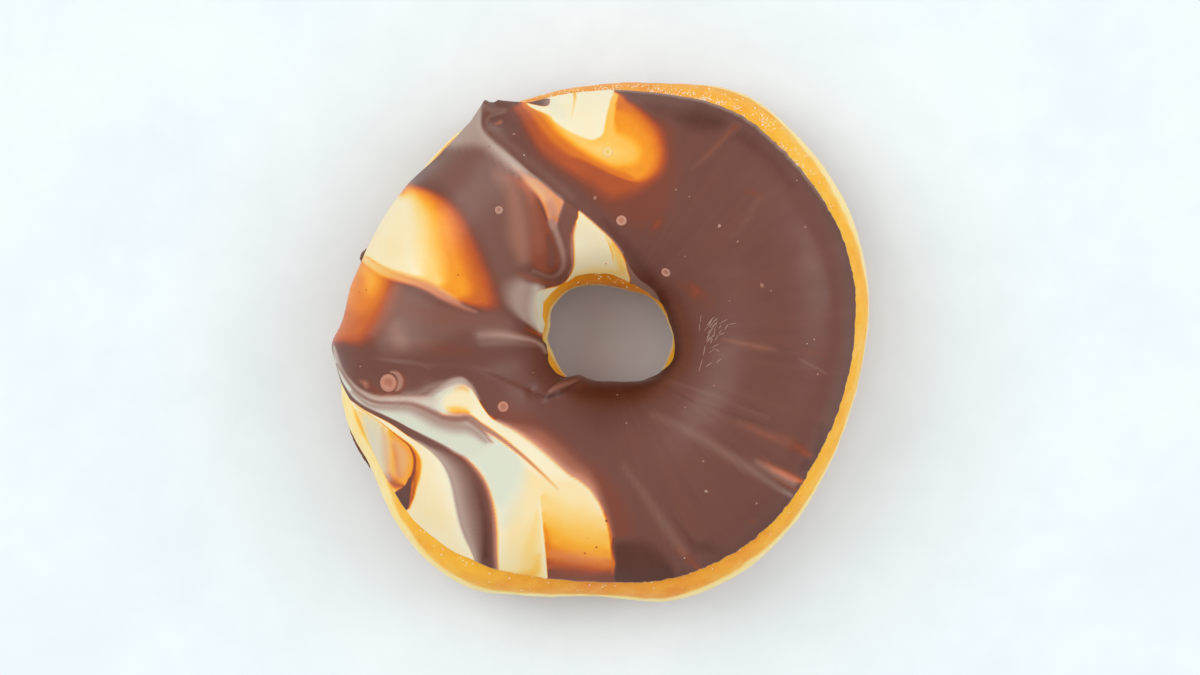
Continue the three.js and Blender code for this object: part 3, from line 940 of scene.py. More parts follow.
# The triangle's right edge is a thin pale line
draw("veil", 0.5, [(x, y, 0.08, 0.22) for x, y in CREST[10:16]])
# Painted shade: the cream is drawn a little amber along its lower edge, where it turns down into the hole
draw("film", 0.17, [(-4, 10.4, 0.4, 1.2), (-1.5, 11.3, 0.5, 1.2), (1.5, 11.3, 0.5, 1.2), (4, 10.6, 0.4, 1.2)])
draw("film", 0.2, [(1.8, 15.8, 0.3, 0.5), (2.9, 13.6, 0.6, 0.7), (3.6, 11.8, 0.6, 0.7)])
draw("film", 0.3, [
    (0.7, 17.4, 0.05, 0.12), (1.4, 15.9, 0.1, 0.12), (1.85, 14.4, 0.1, 0.14), (2.05, 13, 0.05, 0.15),
])
mauve_lip = [
    (4.2, 13.2, 0.15), *edge(CREST[17:], 0.12), (9.5, 5.5, 0.2), (5, 8, 0.2), (4.9, 10.3, 0.3),
    (4.5, 11.7, 0.3),
]
pour("film", 0.9, mauve_lip)
pour("veil", 0.28, mauve_lip)

# %% The cream band on the left
LOW_EDGE = [
    (-38.2, 13.5), (-36.5, 12.4), (-35, 11.7), (-33.3, 11.05), (-31.6, 10.7), (-30.3, 10.4), (-28.6, 9.7),
    (-26.9, 8.6), (-25.2, 7.3), (-23.75, 6.5), (-22.3, 5.75), (-21, 5.3),
]
BAND_CORNER = [(-41, 15.5, 0.2), (-42, 20, 0.3), (-38, 24, 0.3)]
LOW_STRIP = [
    (-40, 13.9, 0.5, 0.3), (-37.6, 12.3, 0.6, 0.3), (-36, 11.5, 0.7, 0.35), (-34, 10.7, 0.8, 0.4),
    (-31, 9.85, 0.8, 0.45), (-28.5, 8.8, 0.8, 0.5), (-26.5, 7.6, 0.8, 0.5), (-24.5, 6.45, 0.5, 0.6),
    (-22.6, 5.4, 0.2, 0.6), (-20.8, 4.7, 0.05, 0.5),
]
draw("film", (0.16, 0.66), LOW_STRIP)


def band_pool(value, rows, along_edge):
    """A pool of the band that ends on its lower edge, from a point of it, and at the coat's rim."""
    pour("film", value, [*rows, *edge(LOW_EDGE[along_edge::-1], 0.22), *BAND_CORNER])


band_pool(0.72, [
    (-34.5, 24.6, 0.3), (-32.9, 26.2, 0.35), (-30.8, 26, 0.4), (-26.4, 24.2, 0.7), (-23, 21.3, 1),
    (-21, 17.5, 1.2), (-19.3, 13.9, 1.2), (-17.9, 10.5, 1.3), (-16.6, 6.9, 1.4), (-16.8, 5.2, 1),
    (-19, 4.6, 0.6),
], 11)
band_pool(0.52, [
    (-34.2, 24.5, 0.3), (-32.7, 25.8, 0.3), (-30.8, 25.7, 0.4), (-26.6, 23.7, 0.8), (-23.6, 20.6, 1.1),
    (-21.8, 17.1, 1.3), (-20.2, 13.2, 1.4), (-18.8, 9.3, 1.4), (-18.4, 6, 1.2), (-20.6, 5.6, 0.6),
], 9)
band_pool(0.36, [
    (-33.9, 24.3, 0.3), (-32.4, 25.4, 0.3), (-30.7, 25.1, 0.5), (-28.4, 23.9, 0.8), (-25.5, 20.8, 1.3),
    (-24, 16.8, 1.5), (-22.5, 12.2, 1.6), (-21.5, 8.2, 1.4), (-23.2, 6.9, 0.8),
], 8)
band_pool(0.19, [
    (-33.5, 24.1, 0.5), (-31.8, 24.7, 0.6), (-30.2, 23.6, 0.9), (-28.2, 20.8, 1.5), (-27.2, 16.4, 1.9),
    (-26.4, 11.8, 1.9), (-26.2, 9.8, 1.3), (-27, 9.1, 0.6),
], 6)
band_pool(0.04, [
    (-33.2, 23.7, 0.8), (-31.4, 22.8, 1.3), (-30.2, 18, 2.2), (-30, 13, 2.2), (-29.8, 11.2, 1.4),
    (-30.4, 10.6, 0.7),
], 4)
draw("film", (0.12, 0.32), [
    (-39.1, 14.4, 0.1, 0.27), (-36.5, 12.4, 0.12, 0.34), (-35, 11.75, 0.15, 0.46), (-33.3, 11.1, 0.2, 0.57),
    (-30.3, 10.1, 0.3, 0.6), (-26.9, 8.1, 0.35, 0.6), (-23.7, 6.2, 0.2, 0.6),
])

# %% The orange and mauve fields under it
draw("film", 0.88, [(-32, 5, 1.5, 2), (-24, 3.5, 1.5, 2), (-17, 3, 1, 2)])
pour("veil", 0.07, [
    (-34.5, 8.6, 0.8), (-31, 7.6, 0.8), (-27, 5.8, 0.8), (-22, 4.6, 0.8), (-17, 4.6, 1.2), (-14.5, 3, 1),
    (-16, 1.6, 1), (-24, 1, 1.5), (-30, -2, 1.2), (-36, -2.4, 1), (-37.5, 0.5, 1), (-36.5, 4, 1),
])
# Painted highlight: a lighter patch of veil on the orange field, where the left light's sheen falls
painted_sheen_patch = [(-34.4, 1.8, 0.9, 2), (-33.4, -0.2, 0.9, 1.8)]
draw_both(painted_sheen_patch, 0.84, 0.26)
draw("film", 0.84, [(-30.5, -0.6, 0.3, 1), (-27, -1.4, 0.5, 1.2), (-22, -1.6, 0.3, 1.2)])
pour("film", 0.72, [
    (-39.5, 13, 0.5), (-37, 11.6, 0.5), (-33.6, 10.3, 0.9), (-33.2, 8.2, 1.4), (-34, 5.6, 1.6),
    (-35.4, 3, 1.7), (-37.2, 0.4, 1.6), (-40, -1.2, 1), (-42.5, -0.8, 0.8), (-46, 0, 0.6), (-46, 8, 0.6),
    (-43.5, 12.5, 0.6),
])
pour("film", 0.52, [
    (-39.5, 13, 0.5), (-37.8, 11.8, 0.5), (-35.2, 10.6, 0.8), (-35.2, 8.2, 1.4), (-36.5, 5, 1.6),
    (-38, 2.2, 1.5), (-40.2, 0, 1.2), (-42.8, 0, 0.8), (-46, 0.6, 0.6), (-46, 8, 0.6), (-43.5, 12.5, 0.6),
])
pour("film", 0.41, [
    (-39.5, 13, 0.5), (-38.2, 12, 0.5), (-36.2, 10.9, 0.8), (-36.4, 8.4, 1.3), (-38, 5.6, 1.5),
    (-40.4, 4.4, 1.3), (-43, 6, 1.4), (-46, 8, 0.6), (-43.5, 12.5, 0.6),
])
draw("film", 0.31, [(-39.6, 11.8, 0.5, 1.2), (-38.4, 10.4, 1, 1.3), (-38.4, 8.6, 0.8, 1.3)])
draw("veil", 0.16, [(-34, 8.6, 0.6, 1.3), (-34.8, 6.4, 0.8, 1.5), (-36.2, 3.6, 0.6, 1.5), (-38, 1, 0.3, 1.2)])
draw("film", (0.16, 0.66), [
    (-40, 13.9, 0.5, 0.3), (-37.6, 12.1, 0.6, 0.3), (-36, 11.2, 0.65, 0.35), (-34, 10.45, 0.65, 0.4),
    (-31, 9.6, 0.55, 0.45), (-28.5, 8.6, 0.5, 0.5), (-26.5, 7.4, 0.45, 0.5), (-24.5, 6.2, 0.35, 0.6),
    (-22.6, 5.2, 0.15, 0.6), (-20.8, 4.6, 0.05, 0.5),
])
draw("veil", (0.12, 0.4), LOW_STRIP)
draw("film", 0.27, [
    (-37.6, 13, 0.05, 0.25), (-35, 11.65, 0.1, 0.25), (-32, 10.75, 0.12, 0.25), (-29, 9.85, 0.12, 0.25),
    (-26.4, 8.2, 0.05, 0.25),
])

# %% Painted highlight along the second fold's crest, and the pleat with a painted highlight and shadow
# Painted highlight: the second fold's crest is drawn pale, with thinner film and veil along it
draw("film", 0.8, [
    (-19, 1, 0.3, 1.4), (-15.5, 0.9, 0.5, 1.2), (-12.4, 0.2, 0.4, 0.9), (-10.2, -0.6, 0.2, 0.6),
])
draw("veil", (0.5, 0.72), [
    (-20.2, 0.75, 0.2, 1.2), (-17.7, 0.85, 0.3, 1.05), (-15.7, 0.75, 0.35, 0.95), (-13.2, 0.3, 0.3, 0.8),
    (-11.4, -0.1, 0.2, 0.6), (-9.9, -0.9, 0.15, 0.6), (-9.2, -2, 0.1, 0.45),
])
draw("veil", 0.12, [(-20, -0.6, 0.4, 0.6), (-15, -0.5, 0.4, 0.5), (-11, -0.9, 0.3, 0.4)])
draw("veil", 0.06, [
    (-37, -3.2, 0.1, 0.3), (-33, -3.3, 0.15, 0.3), (-31, -3.7, 0.15, 0.3), (-28.6, -4.7, 0.1, 0.3),
])
# Painted highlight: the pleat's lip, on its lit side, is drawn light tan
pleat_lip_highlight = [
    (-3.7, -6.55, 0.15, 0.2), (-5.2, -7.1, 0.3, 0.25), (-7, -7.7, 0.35, 0.25), (-8.4, -8.5, 0.3, 0.25),
]
draw_both(pleat_lip_highlight, 0.8, 0.14)
# Painted shadow: a line of film thicker than 1 darkens the crease under the pleat
draw("film", 1.25, [
    (-10.6, -9, 0.15, 0.3), (-9, -9.5, 0.25, 0.3), (-6.7, -8.8, 0.3, 0.3), (-4.7, -7.5, 0.2, 0.3),
    (-3.7, -6.9, 0.1, 0.3),
])
# Beside the large bubble the icing is warm, and an older bubble's rim shows behind it as a crescent
tan_spot = [(-40.1, -6.9, 0.1, 0.5), (-39.3, -7.2, 0.4, 0.5), (-39.1, -7.8, 0.3, 0.4)]
draw_both(tan_spot, 0.6, 0.22)
draw("film", 0.78, [
    (-38.4, -7.6, 0.3, 0.8), (-36.8, -8.9, 0.4, 0.6), (-34.6, -8.9, 0.4, 0.6), (-33, -7.8, 0.4, 0.6),
    (-32.9, -6, 0.3, 0.6), (-33.9, -5.2, 0.1, 0.5),
])
crescent = [
    (-35, -5.3, 0.15, 0.15), (-34, -5.6, 0.35, 0.18), (-33.4, -6.6, 0.45, 0.18), (-33.6, -7.8, 0.35, 0.18),
    (-34.1, -8.4, 0.15, 0.15),
]
draw_both(crescent, 0.72, 0.32)

# %% The fan: its glow and its white ground
FAN_TOP = [
    (-44.5, -0.8), (-43.1, -5), (-42.1, -6.4), (-40.6, -7.9), (-39.1, -8.8), (-37.5, -9.4), (-36, -9.7),
    (-34.5, -9.6), (-31.5, -9.6), (-30, -9.7), (-28.6, -9.3), (-27, -8.1), (-25.4, -6.9), (-23.9, -6.4),
    (-22.7, -6.6),
]
FAN_RIGHT = [
    (-21.2, -8.65), (-19.5, -11.4), (-18.4, -12.75), (-17.2, -13.6), (-14.5, -15), (-11.8, -16.8),
    (-8.9, -19.2), (-5.5, -22.2), (-3.7, -23.3), (-2, -24.7), (-0.9, -26.3), (0.1, -27.9), (1.3, -31),
    (1.85, -34.2), (2.15, -43),
]
draw("film", 0.84, [(x + 1.6, y + 1.2, 1.6, 1.8) for x, y in FAN_RIGHT[3:]])
fan_glow = [
    (-16.6, -13.6, 0.1, 0.4), (-14.6, -14.3, 0.4, 0.6), (-12.6, -15.1, 0.7, 0.9), (-10.6, -16, 1, 1.1),
    (-8.8, -17.5, 1.2, 1.2), (-6.8, -19.2, 1.2, 1.2), (-4.8, -20.8, 1, 1.1), (-2.7, -22.3, 0.8, 0.9),
    (-1, -24.4, 0.6, 0.8), (0.1, -26.7, 0.4, 0.7), (1.1, -29.2, 0.3, 0.6), (2, -32.5, 0.2, 0.5),
]
draw_both(fan_glow, 0.7, 0.14)
fan_salmon = [
    (-16.8, -13.8, 0.1, 0.3), (-13.8, -15.3, 0.3, 0.4), (-11.6, -16.6, 0.45, 0.6), (-9.6, -18.2, 0.6, 0.7),
    (-7.6, -20, 0.6, 0.7), (-5.4, -21.7, 0.5, 0.6), (-3.3, -22.9, 0.45, 0.6), (-1.8, -24.2, 0.4, 0.55),
    (-0.7, -26.2, 0.3, 0.5), (0.3, -28.4, 0.2, 0.4),
]
draw_both(fan_salmon, 0.56, 0.34)
pour("film", 0, [
    (-26.9, -10.6, 0.4), (-26.3, -9.2, 0.4), (-25.5, -8.2, 0.4), (-24.3, -7.6, 0.4), (-22.9, -7.5, 0.4),
    (-21.7, -8.1, 0.3), *edge(FAN_RIGHT[:4], 0.2), *edge(FAN_RIGHT[4:], 0.35), (-10, -45, 0.3),
    (-24, -42, 0.3), (-34, -33, 0.3), (-41.5, -20, 0.3), (-46, -10, 0.3), (-44.4, -4, 0.15),
    (-42.5, -9, 0.15), (-40, -11, 0.15), (-36, -12.95, 0.15), (-31.5, -15.5, 0.15), (-28, -17.1, 0.3),
    (-25.5, -18, 0.7), (-23.2, -18.9, 1), (-21.4, -18.9, 1), (-19.8, -18, 0.8), (-18.6, -17.2, 0.5),
    (-19, -16.1, 0.35), (-20, -14.8, 0.35), (-21.1, -13.4, 0.35), (-22.3, -12.6, 0.35), (-23.9, -12.6, 0.35),
    (-25.6, -12.3, 0.35), (-26.9, -11.6, 0.4),
])
pour("film", 0.04, [
    (-31, -17.5, 1), (-28, -21, 1.5), (-26, -27, 1.5), (-24, -33, 1.5), (-22, -40, 1), (-30, -38, 2),
    (-36, -30, 1.5), (-33, -24, 1), (-31, -20, 1),
])
pour("film", 0.07, [
    (-12.6, -21.5, 0.8), (-10, -22.6, 0.8), (-7, -23, 1.2), (-4, -23.6, 0.8), (-1.5, -26, 0.5),
    (0.5, -30, 0.4), (1.5, -34, 0.4), (1.5, -42, 0.4), (-16, -42, 0.6), (-16, -34, 1.2), (-15.6, -29, 1.2),
    (-13.6, -25, 1),
])

# %% The cool veil between the fan's upper edge and its dark stripe
pour("veil", 0.5, [
    (-20, -18, 0.6), (-14, -18.5, 1.2), (-12, -21.5, 1.2), (-12.8, -25.5, 1.5), (-14, -28.5, 1.8),
    (-15.6, -31, 1.5), (-16.8, -31, 0.6), (-17, -29, 0.6), (-17.4, -27, 0.6), (-19, -23, 0.6),
])
fan_top_softness = [0.25, 0.35, 0.35, 0.4, 0.4, 0.45, 0.5, 0.6, 0.8, 0.9, 0.9, 0.8, 0.7, 0.6, 0.5]
pour("veil", 0.97, [
    *[(x, y, soft) for (x, y), soft in zip(FAN_TOP, fan_top_softness)], (-21.6, -8.6, 0.4),
    (-20.2, -11, 0.25), (-18.6, -13, 0.2), (-16, -14.7, 0.3), (-14.5, -16.5, 0.6), (-13.4, -18.5, 1),
    (-13.2, -21.5, 1.2), (-14.2, -24.5, 1.6), (-15.8, -27, 1.6), (-17, -27.8, 0.8), (-17.8, -26.4, 0.5),
    (-18.8, -24, 0.5), (-20.3, -21.6, 0.5), (-22, -20, 0.45), (-24.5, -18.6, 0.35), (-27, -17.2, 0.3),
    (-31.3, -15.2, 0.2), (-36, -12.6, 0.2), (-40.3, -10.4, 0.2), (-42.7, -7.6, 0.2), (-44.2, -4.4, 0.2),
])
pink_field = [
    (-38, -9.9, 0.2, 0.5), (-34, -10, 0.4, 0.6), (-30.5, -10.3, 0.7, 0.8), (-28.2, -10.6, 0.7, 0.9),
    (-27.2, -9.8, 0.3, 0.7),
]
draw_both(pink_field, 0.5, 0.86)
# The bulb's shoulder is mauve
draw("veil", 0.3, [
    (-33, -8.9, 0.1, 0.5), (-30.5, -8.8, 0.4, 0.7), (-28.4, -7.9, 0.5, 0.7), (-26.4, -6.9, 0.1, 0.5),
])
# Towards the second tip its upper line is thin and warm, and it darkens under that line
warm_line = [
    (-44.4, -1.8, 0.1, 0.3), (-43.5, -4.3, 0.2, 0.35), (-42.1, -6.8, 0.3, 0.4), (-40, -8.7, 0.3, 0.4),
    (-37.5, -9.6, 0.3, 0.45), (-34, -9.7, 0.3, 0.5), (-30.5, -9.8, 0.3, 0.5), (-28, -9.6, 0.2, 0.6),
]
draw_both(warm_line, 0.66, (0.45, 0.8))
draw("veil", 0.62, [
    (-28.4, -9.1, 0.2, 0.5), (-26.6, -8, 0.35, 0.5), (-25, -7.2, 0.4, 0.5), (-23.5, -6.8, 0.4, 0.45),
    (-22.2, -7.3, 0.35, 0.4), (-21.3, -8.4, 0.3, 0.35), (-20.4, -9.9, 0.15, 0.3),
])
draw("veil", 0.45, [
    (-41.4, -8.6, 0.2, 0.4), (-38.6, -10.8, 0.3, 0.6), (-35.4, -11.2, 0.4, 0.8), (-32, -11.4, 0.5, 1),
    (-29.6, -12.3, 0.7, 1.2), (-27, -13.6, 0.8, 1.3), (-24.4, -14.3, 0.8, 1.3), (-22.2, -14.6, 0.7, 1.2),
    (-20.6, -15.6, 0.5, 0.9), (-19.2, -16.9, 0.2, 0.6),
])
dark_line = [
    (-44, -4, 0.1, 0.25), (-42.1, -6.9, 0.15, 0.25), (-40.6, -8.7, 0.2, 0.3), (-38, -10.2, 0.25, 0.3),
    (-35, -10.5, 0.25, 0.35), (-32, -10.6, 0.3, 0.4), (-30, -11.2, 0.35, 0.45), (-28, -12.1, 0.4, 0.5),
    (-26, -12.9, 0.45, 0.55), (-24, -13.2, 0.5, 0.55), (-22.2, -13.1, 0.45, 0.5), (-20.8, -14.1, 0.35, 0.4),
    (-19.6, -15.3, 0.2, 0.35), (-18.2, -17.1, 0.1, 0.3),
]
draw("film", (0.98, 0.76), [(x, y, half + 0.15, soft + 0.1) for x, y, half, soft in dark_line])
draw("veil", (0.12, 0.22), dark_line)
bulb_and_strand = [
    (-26.4, -10.6, 0.9), (-25.9, -9.4, 0.8), (-24.6, -8.5, 0.7), (-22.9, -8.1, 0.6), (-21.6, -8.7, 0.4),
    (-20.2, -10.8, 0.35), (-18.4, -13.2, 0.3), (-15.9, -14.8, 0.3), (-13, -16.3, 0.4), (-10.5, -18.4, 0.5),
    (-8.5, -21.5, 1), (-10, -25, 1.5), (-12, -22, 1), (-13.3, -19.8, 0.5), (-16.6, -17.1, 0.35),
    (-19.7, -14.4, 0.3), (-21.3, -12.9, 0.35), (-22.6, -12.3, 0.35), (-24.4, -12.3, 0.4), (-25.9, -11.7, 0.6),
]
pour("film", 0.04, [
    (-27.6, -10.8, 0.6), (-27, -9.2, 0.6), (-25.5, -8, 0.5), (-24, -7.4, 0.4), (-22.6, -7.5, 0.4),
    (-21.4, -8.7, 0.6), (-21, -11.4, 0.8), (-22, -12.2, 0.5), (-24.3, -12.5, 0.3), (-26.5, -12.3, 0.5),
])
pour("veil", 0, bulb_and_strand)
bulb_glow = [(-24.2, -8.1, 0.1, 0.6), (-23, -7.9, 0.3, 0.6), (-22.2, -8.4, 0.1, 0.5)]
draw_both(bulb_glow, 0.34, 0.2)
draw("film", 0.26, [(-25.4, -11.4, 0.2, 0.7), (-24, -11.6, 0.5, 0.7), (-22.6, -11.6, 0.2, 0.7)])
draw("film", 0.42, [(-25.4, -12.1, 0.15, 0.5), (-24, -12.3, 0.35, 0.4), (-22.2, -12.2, 0.3, 0.45)])
rust_line = [
    (-26.4, -12.9, 0.15, 0.4), (-24, -13.1, 0.35, 0.35), (-22.3, -12.95, 0.35, 0.35), (-21, -13.6, 0.3, 0.3),
]
draw_both(rust_line, 0.8, 0.22)
thread = [
    (-21.6, -13, 0.25, 0.35), (-20, -14.2, 0.38, 0.3), (-18.3, -15.3, 0.36, 0.28), (-16, -16.9, 0.3, 0.26),
    (-13, -19.3, 0.26, 0.22), (-11, -21.1, 0.22, 0.2), (-9.2, -22.8, 0.16, 0.2), (-7.2, -24.8, 0.05, 0.2),
]
draw("film", (0.82, 0.42), thread)
draw("veil", 0.36, [(x, y, half + 0.15, 0.35) for x, y, half, soft in thread])
# The strand's upper edge is warm and soft
draw("film", 0.5, [(x + 0.1, y + 0.1, 0.12, 0.3) for x, y in FAN_RIGHT[2:10]])
draw("veil", 0.5, [(x, y, 0.3, 0.4) for x, y in FAN_RIGHT[3:11]])

# %% The amber fall on the fan's right
draw("film", 0.15, [(-10.6, -29, 0.3, 0.8), (-11.4, -33, 0.8, 1.5), (-12, -37, 1.5, 1.5), (-12, -41, 2, 2)])
draw("film", 0.3, [
    (-10.4, -36, 0.1, 0.8), (-11, -38.6, 0.5, 1), (-13.5, -39.6, 0.6, 1), (-16, -39, 0.3, 0.8),
])
WHITE_LINE = [(-8.9, -43), (-9.4, -35.2), (-9.7, -31.8), (-9.9, -29.5), (-10, -27.5)]


def fall_pool(value, rows, along_line):
    """A pool of the fall. Below its rows it ends at the coat's rim, and on its left at the white line."""
    below = [(2.1, -43, 0.12), (2.1, -47, 0.12), (-8.8, -47, 0.1)]
    pour("film", value, [*rows, *below, *edge(WHITE_LINE[:along_line], 0.08)])


fall_pool(0.15, [
    (-9.95, -26, 0.1), (-8.8, -25.6, 1.5), (-5.5, -27.2, 1.8), (-1.5, -28.6, 1.6), (1.2, -31, 0.5),
], 5)
fall_pool(0.23, [
    (-9.75, -28.6, 0.1), (-8.5, -28.8, 1.6), (-5.5, -30.6, 1.8), (-1, -31.6, 1.6), (1.6, -33, 0.5),
], 4)
fall_pool(0.32, [
    (-9.75, -31, 0.1), (-8.2, -31.4, 1.4), (-5, -33.2, 1.4), (-1, -34.4, 1.4), (1.85, -35.6, 0.4),
], 3)
fall_pool(0.44, [
    (-9.45, -33.6, 0.1), (-8.2, -34.2, 1.1), (-5, -35.4, 1.1), (-1, -36.4, 1.1), (2, -37, 0.4),
], 2)
fall_pool(0.6, [
    (-9.05, -38.5, 0.1), (-9.2, -36.4, 0.1), (-7.5, -36.8, 1.2), (-4, -37.5, 1.2), (0, -38.1, 1.1),
    (2.1, -38.4, 0.3),
], 1)
pour("film", 0.8, [
    (-9.05, -38.3, 0.1), (-6, -38.4, 1.1), (-2, -39, 1), (2.2, -39.2, 0.4), (2.2, -44, 0.2), (-8.9, -44, 0.1),
    (-9, -41, 0.1),
])
draw("veil", 0.14, [(-8.8, -39.8, 0.1, 0.4), (-4, -40.3, 0.2, 0.5), (2, -40.5, 0.1, 0.4)])
draw("veil", 0.12, [(-8, -35.6, 0.4, 1), (-4, -36.2, 0.9, 1.2), (0.8, -36.6, 0.6, 1.2)])
draw("film", 0.44, [(-9.4, -30.6, 0.05, 0.4), (-8.9, -33.4, 0.25, 0.5), (-8.6, -36, 0.3, 0.5)])
draw("film", 0.5, [
    (-0.4, -27.2, 0.03, 0.15), (0.5, -29, 0.08, 0.2), (1.15, -30.8, 0.15, 0.2), (1.8, -34.2, 0.22, 0.22),
    (2.1, -39, 0.2, 0.2),
])
# The white line along the low ridge, drawn paler than its surroundings, partly as a painted highlight on the
# ridge's crest
bright_line = [
    (-11.4, -25, 0.05, 0.2), (-10.5, -26.5, 0.1, 0.15), (-10.1, -28.3, 0.14, 0.12), (-9.78, -31.8, 0.17, 0.1),
    (-9.45, -35.2, 0.19, 0.1), (-9.1, -39.5, 0.22, 0.1),
]
draw_both(bright_line, 0.03, 0.12)

# %% The dark stripe
STRIPE_UPPER = [
    (-44.2, -3.6), (-43, -7.2), (-41.9, -9.1), (-40.4, -10.5), (-38, -11.8), (-36, -12.6), (-34, -13.5),
    (-32, -14.6),
]
STRIPE_RIGHT = [
    (-30, -15.7, 0.2), (-28, -16.7, 0.25), (-26, -17.6, 0.3), (-24.4, -18.6, 0.35), (-22.6, -20, 0.4),
    (-20.8, -21.7, 0.5), (-19.5, -23.7, 0.65), (-18.6, -26, 0.75), (-18, -28.5, 0.8), (-17.6, -31.5, 0.8),
    (-17.5, -34.8, 0.7), (-17.3, -38, 0.5), (-17.1, -41, 0.4),
]
STRIPE_LOWER = [
    (-20.9, -37.4), (-21.6, -35.2), (-22.7, -33), (-23.6, -30.5), (-24.4, -27), (-24.9, -24.5),
    (-25.6, -22.3), (-26.5, -20.6), (-27.7, -19.2), (-29.2, -17.9), (-32, -16.05), (-35, -13.95),
    (-38, -12.35), (-39.5, -11.55), (-41, -10.5), (-42.1, -9.3), (-43.5, -6.6), (-44.3, -4),
]
pour("film", 1, [*edge(STRIPE_UPPER, 0.12), *STRIPE_RIGHT, (-21, -41, 0.12), *edge(STRIPE_LOWER, 0.15)])
draw("film", 1.2, [
    (-21.5, -23.5, 0.1, 0.6), (-20, -27, 0.3, 0.7), (-19.4, -31, 0.5, 0.7), (-19.2, -36, 0.6, 0.7),
])
# On its left the stripe comes out of the white little by little
stripe_shares = (0.3, 0.5, 0.8, 1, 1, 1, 0.9, 0.7, 0.5, 0.3, 0.15)
stripe_layers = (
    (3.2, 0.1, 1), (2.4, 0.22, 1), (1.7, 0.36, 1), (1.1, 0.5, 1), (0.6, 0.66, 0.9), (0, 0.94, 0.45),
)
for inset, value, wide in stripe_layers:
    draw("veil", value, [
        (x + inset * share, y + 0.3 * inset * share, 0.45 * wide * share, 0.7 * wide * share)
        for (x, y), share in zip(STRIPE_LOWER[:11], stripe_shares)
    ])
STRIPE_RIM = [
    (-23.5, -19.2), (-21.8, -20.7), (-20.2, -22.7), (-19.2, -24.6), (-18.5, -26.9), (-18.1, -29.5),
    (-17.9, -32.5), (-17.8, -35.5), (-17.5, -39),
]
draw("film", 0.74, [(-25.5, -18.2, 0.05, 0.3), *[(x, y, 0.3, 0.35) for x, y in STRIPE_RIM]])
rim_veil = [(x + 0.3, y, 0.35, 0.4) for x, y in STRIPE_RIM[2:]]
draw("veil", 0.34, [(-23.2, -19.3, 0.05, 0.2), (-21.6, -20.8, 0.2, 0.35), *rim_veil])
pour("veil", 0.03, [
    (-31.5, -16.3, 0.25), (-35, -14.2, 0.2), (-38, -12.5, 0.15), (-41, -10.7, 0.12), (-43, -8.1, 0.1),
    (-44.2, -3.9, 0.12), *edge(STRIPE_UPPER[1:], 0.12), (-30, -15.6, 0.2), (-26.6, -17.4, 0.3),
    (-25.2, -18.4, 0.5), (-26.6, -18.3, 0.5), (-28.2, -17.8, 0.5), (-29.8, -17, 0.4),
])

# %% The loops on the lower left
pour("film", 0.12, [
    (-41, -11.4, 0.15), (-39.1, -12.3, 0.12), (-36.6, -13.9, 0.12), (-33.8, -16.2, 0.12),
    (-32.2, -17.5, 0.12), (-31.5, -18.4, 0.12), (-31, -19.6, 0.12), (-31.1, -21.7, 0.12),
    (-31.7, -23.4, 0.12), (-33.1, -24.6, 0.15), (-34.6, -25.6, 0.2), (-38, -22, 0.3), (-41.5, -15, 0.3),
    (-42, -12, 0.2),
])
pour("film", 0.33, [
    (-35.4, -15.1, 0.5), (-33.7, -16.3, 0.2), (-32.2, -17.7, 0.15), (-31.4, -19, 0.12), (-31.2, -20.6, 0.12),
    (-31.5, -22.4, 0.15), (-32.4, -23.8, 0.2), (-34.2, -24.9, 0.5), (-34.8, -22, 1.1), (-34.8, -19, 1.1),
    (-35.2, -17, 1),
])
draw("film", 0.31, [(-33.8, -17.4, 0.1, 0.5), (-32.6, -19.2, 0.3, 0.7), (-32.4, -20.6, 0.2, 0.7)])
draw("film", 0.44, [(-34.6, -17.5, 0.1, 0.7), (-34, -20.5, 0.3, 0.8), (-33.6, -22.6, 0.4, 0.8)])
draw("veil", 0.34, [(-34.4, -17, 0.5, 1), (-33.2, -19.4, 1, 1), (-33.4, -22, 0.8, 1)])
draw("film", 0.34, [
    (-36.4, -14.6, 0.1, 0.5), (-36, -17, 0.4, 0.8), (-35.7, -20, 0.6, 0.9), (-35.2, -22.6, 0.6, 1),
])
draw("veil", 0.7, [
    (-38, -13.6, 0.5, 0.6), (-37, -16, 1.1, 0.9), (-36.6, -19, 1.2, 1), (-36.2, -21.5, 0.9, 1),
    (-35.4, -23, 0.4, 0.8),
])
draw("veil", 0.92, [
    (-39.2, -13, 0.3, 0.6), (-38.4, -15.5, 0.5, 0.8), (-37.8, -18.5, 0.5, 0.8), (-37.4, -20.5, 0.3, 0.7),
])
draw("veil", 0.62, [(-36.3, -14.8, 0.1, 0.4), (-35.9, -17, 0.25, 0.5), (-35.8, -19.5, 0.2, 0.5)])
draw("film", 0.66, [(-35.6, -22.8, 0.4, 0.9), (-34.4, -24, 0.5, 0.8), (-33.1, -24.3, 0.2, 0.5)])
pour("film", 0.4, [
    (-34.5, -15.3, 0.1), (-32.9, -16.5, 0.15), (-31.6, -17.5, 0.25), (-30.3, -19.2, 0.3), (-29.9, -20.8, 0.3),
    (-30.2, -23, 0.3), (-30.8, -24.8, 0.25), (-31.2, -26.4, 0.2), (-32, -28.2, 0.15), (-32.3, -26, 0.15),
    (-31.7, -23.6, 0.15), (-31.1, -21.6, 0.12), (-31.1, -19.7, 0.12), (-32, -17.7, 0.12), (-33.6, -16.1, 0.1),
])
draw("film", 0.56, [
    (-30.9, -22, 0.1, 0.35), (-31.1, -24.2, 0.3, 0.35), (-31.5, -26.2, 0.3, 0.3), (-32.1, -27.6, 0.1, 0.2),
])
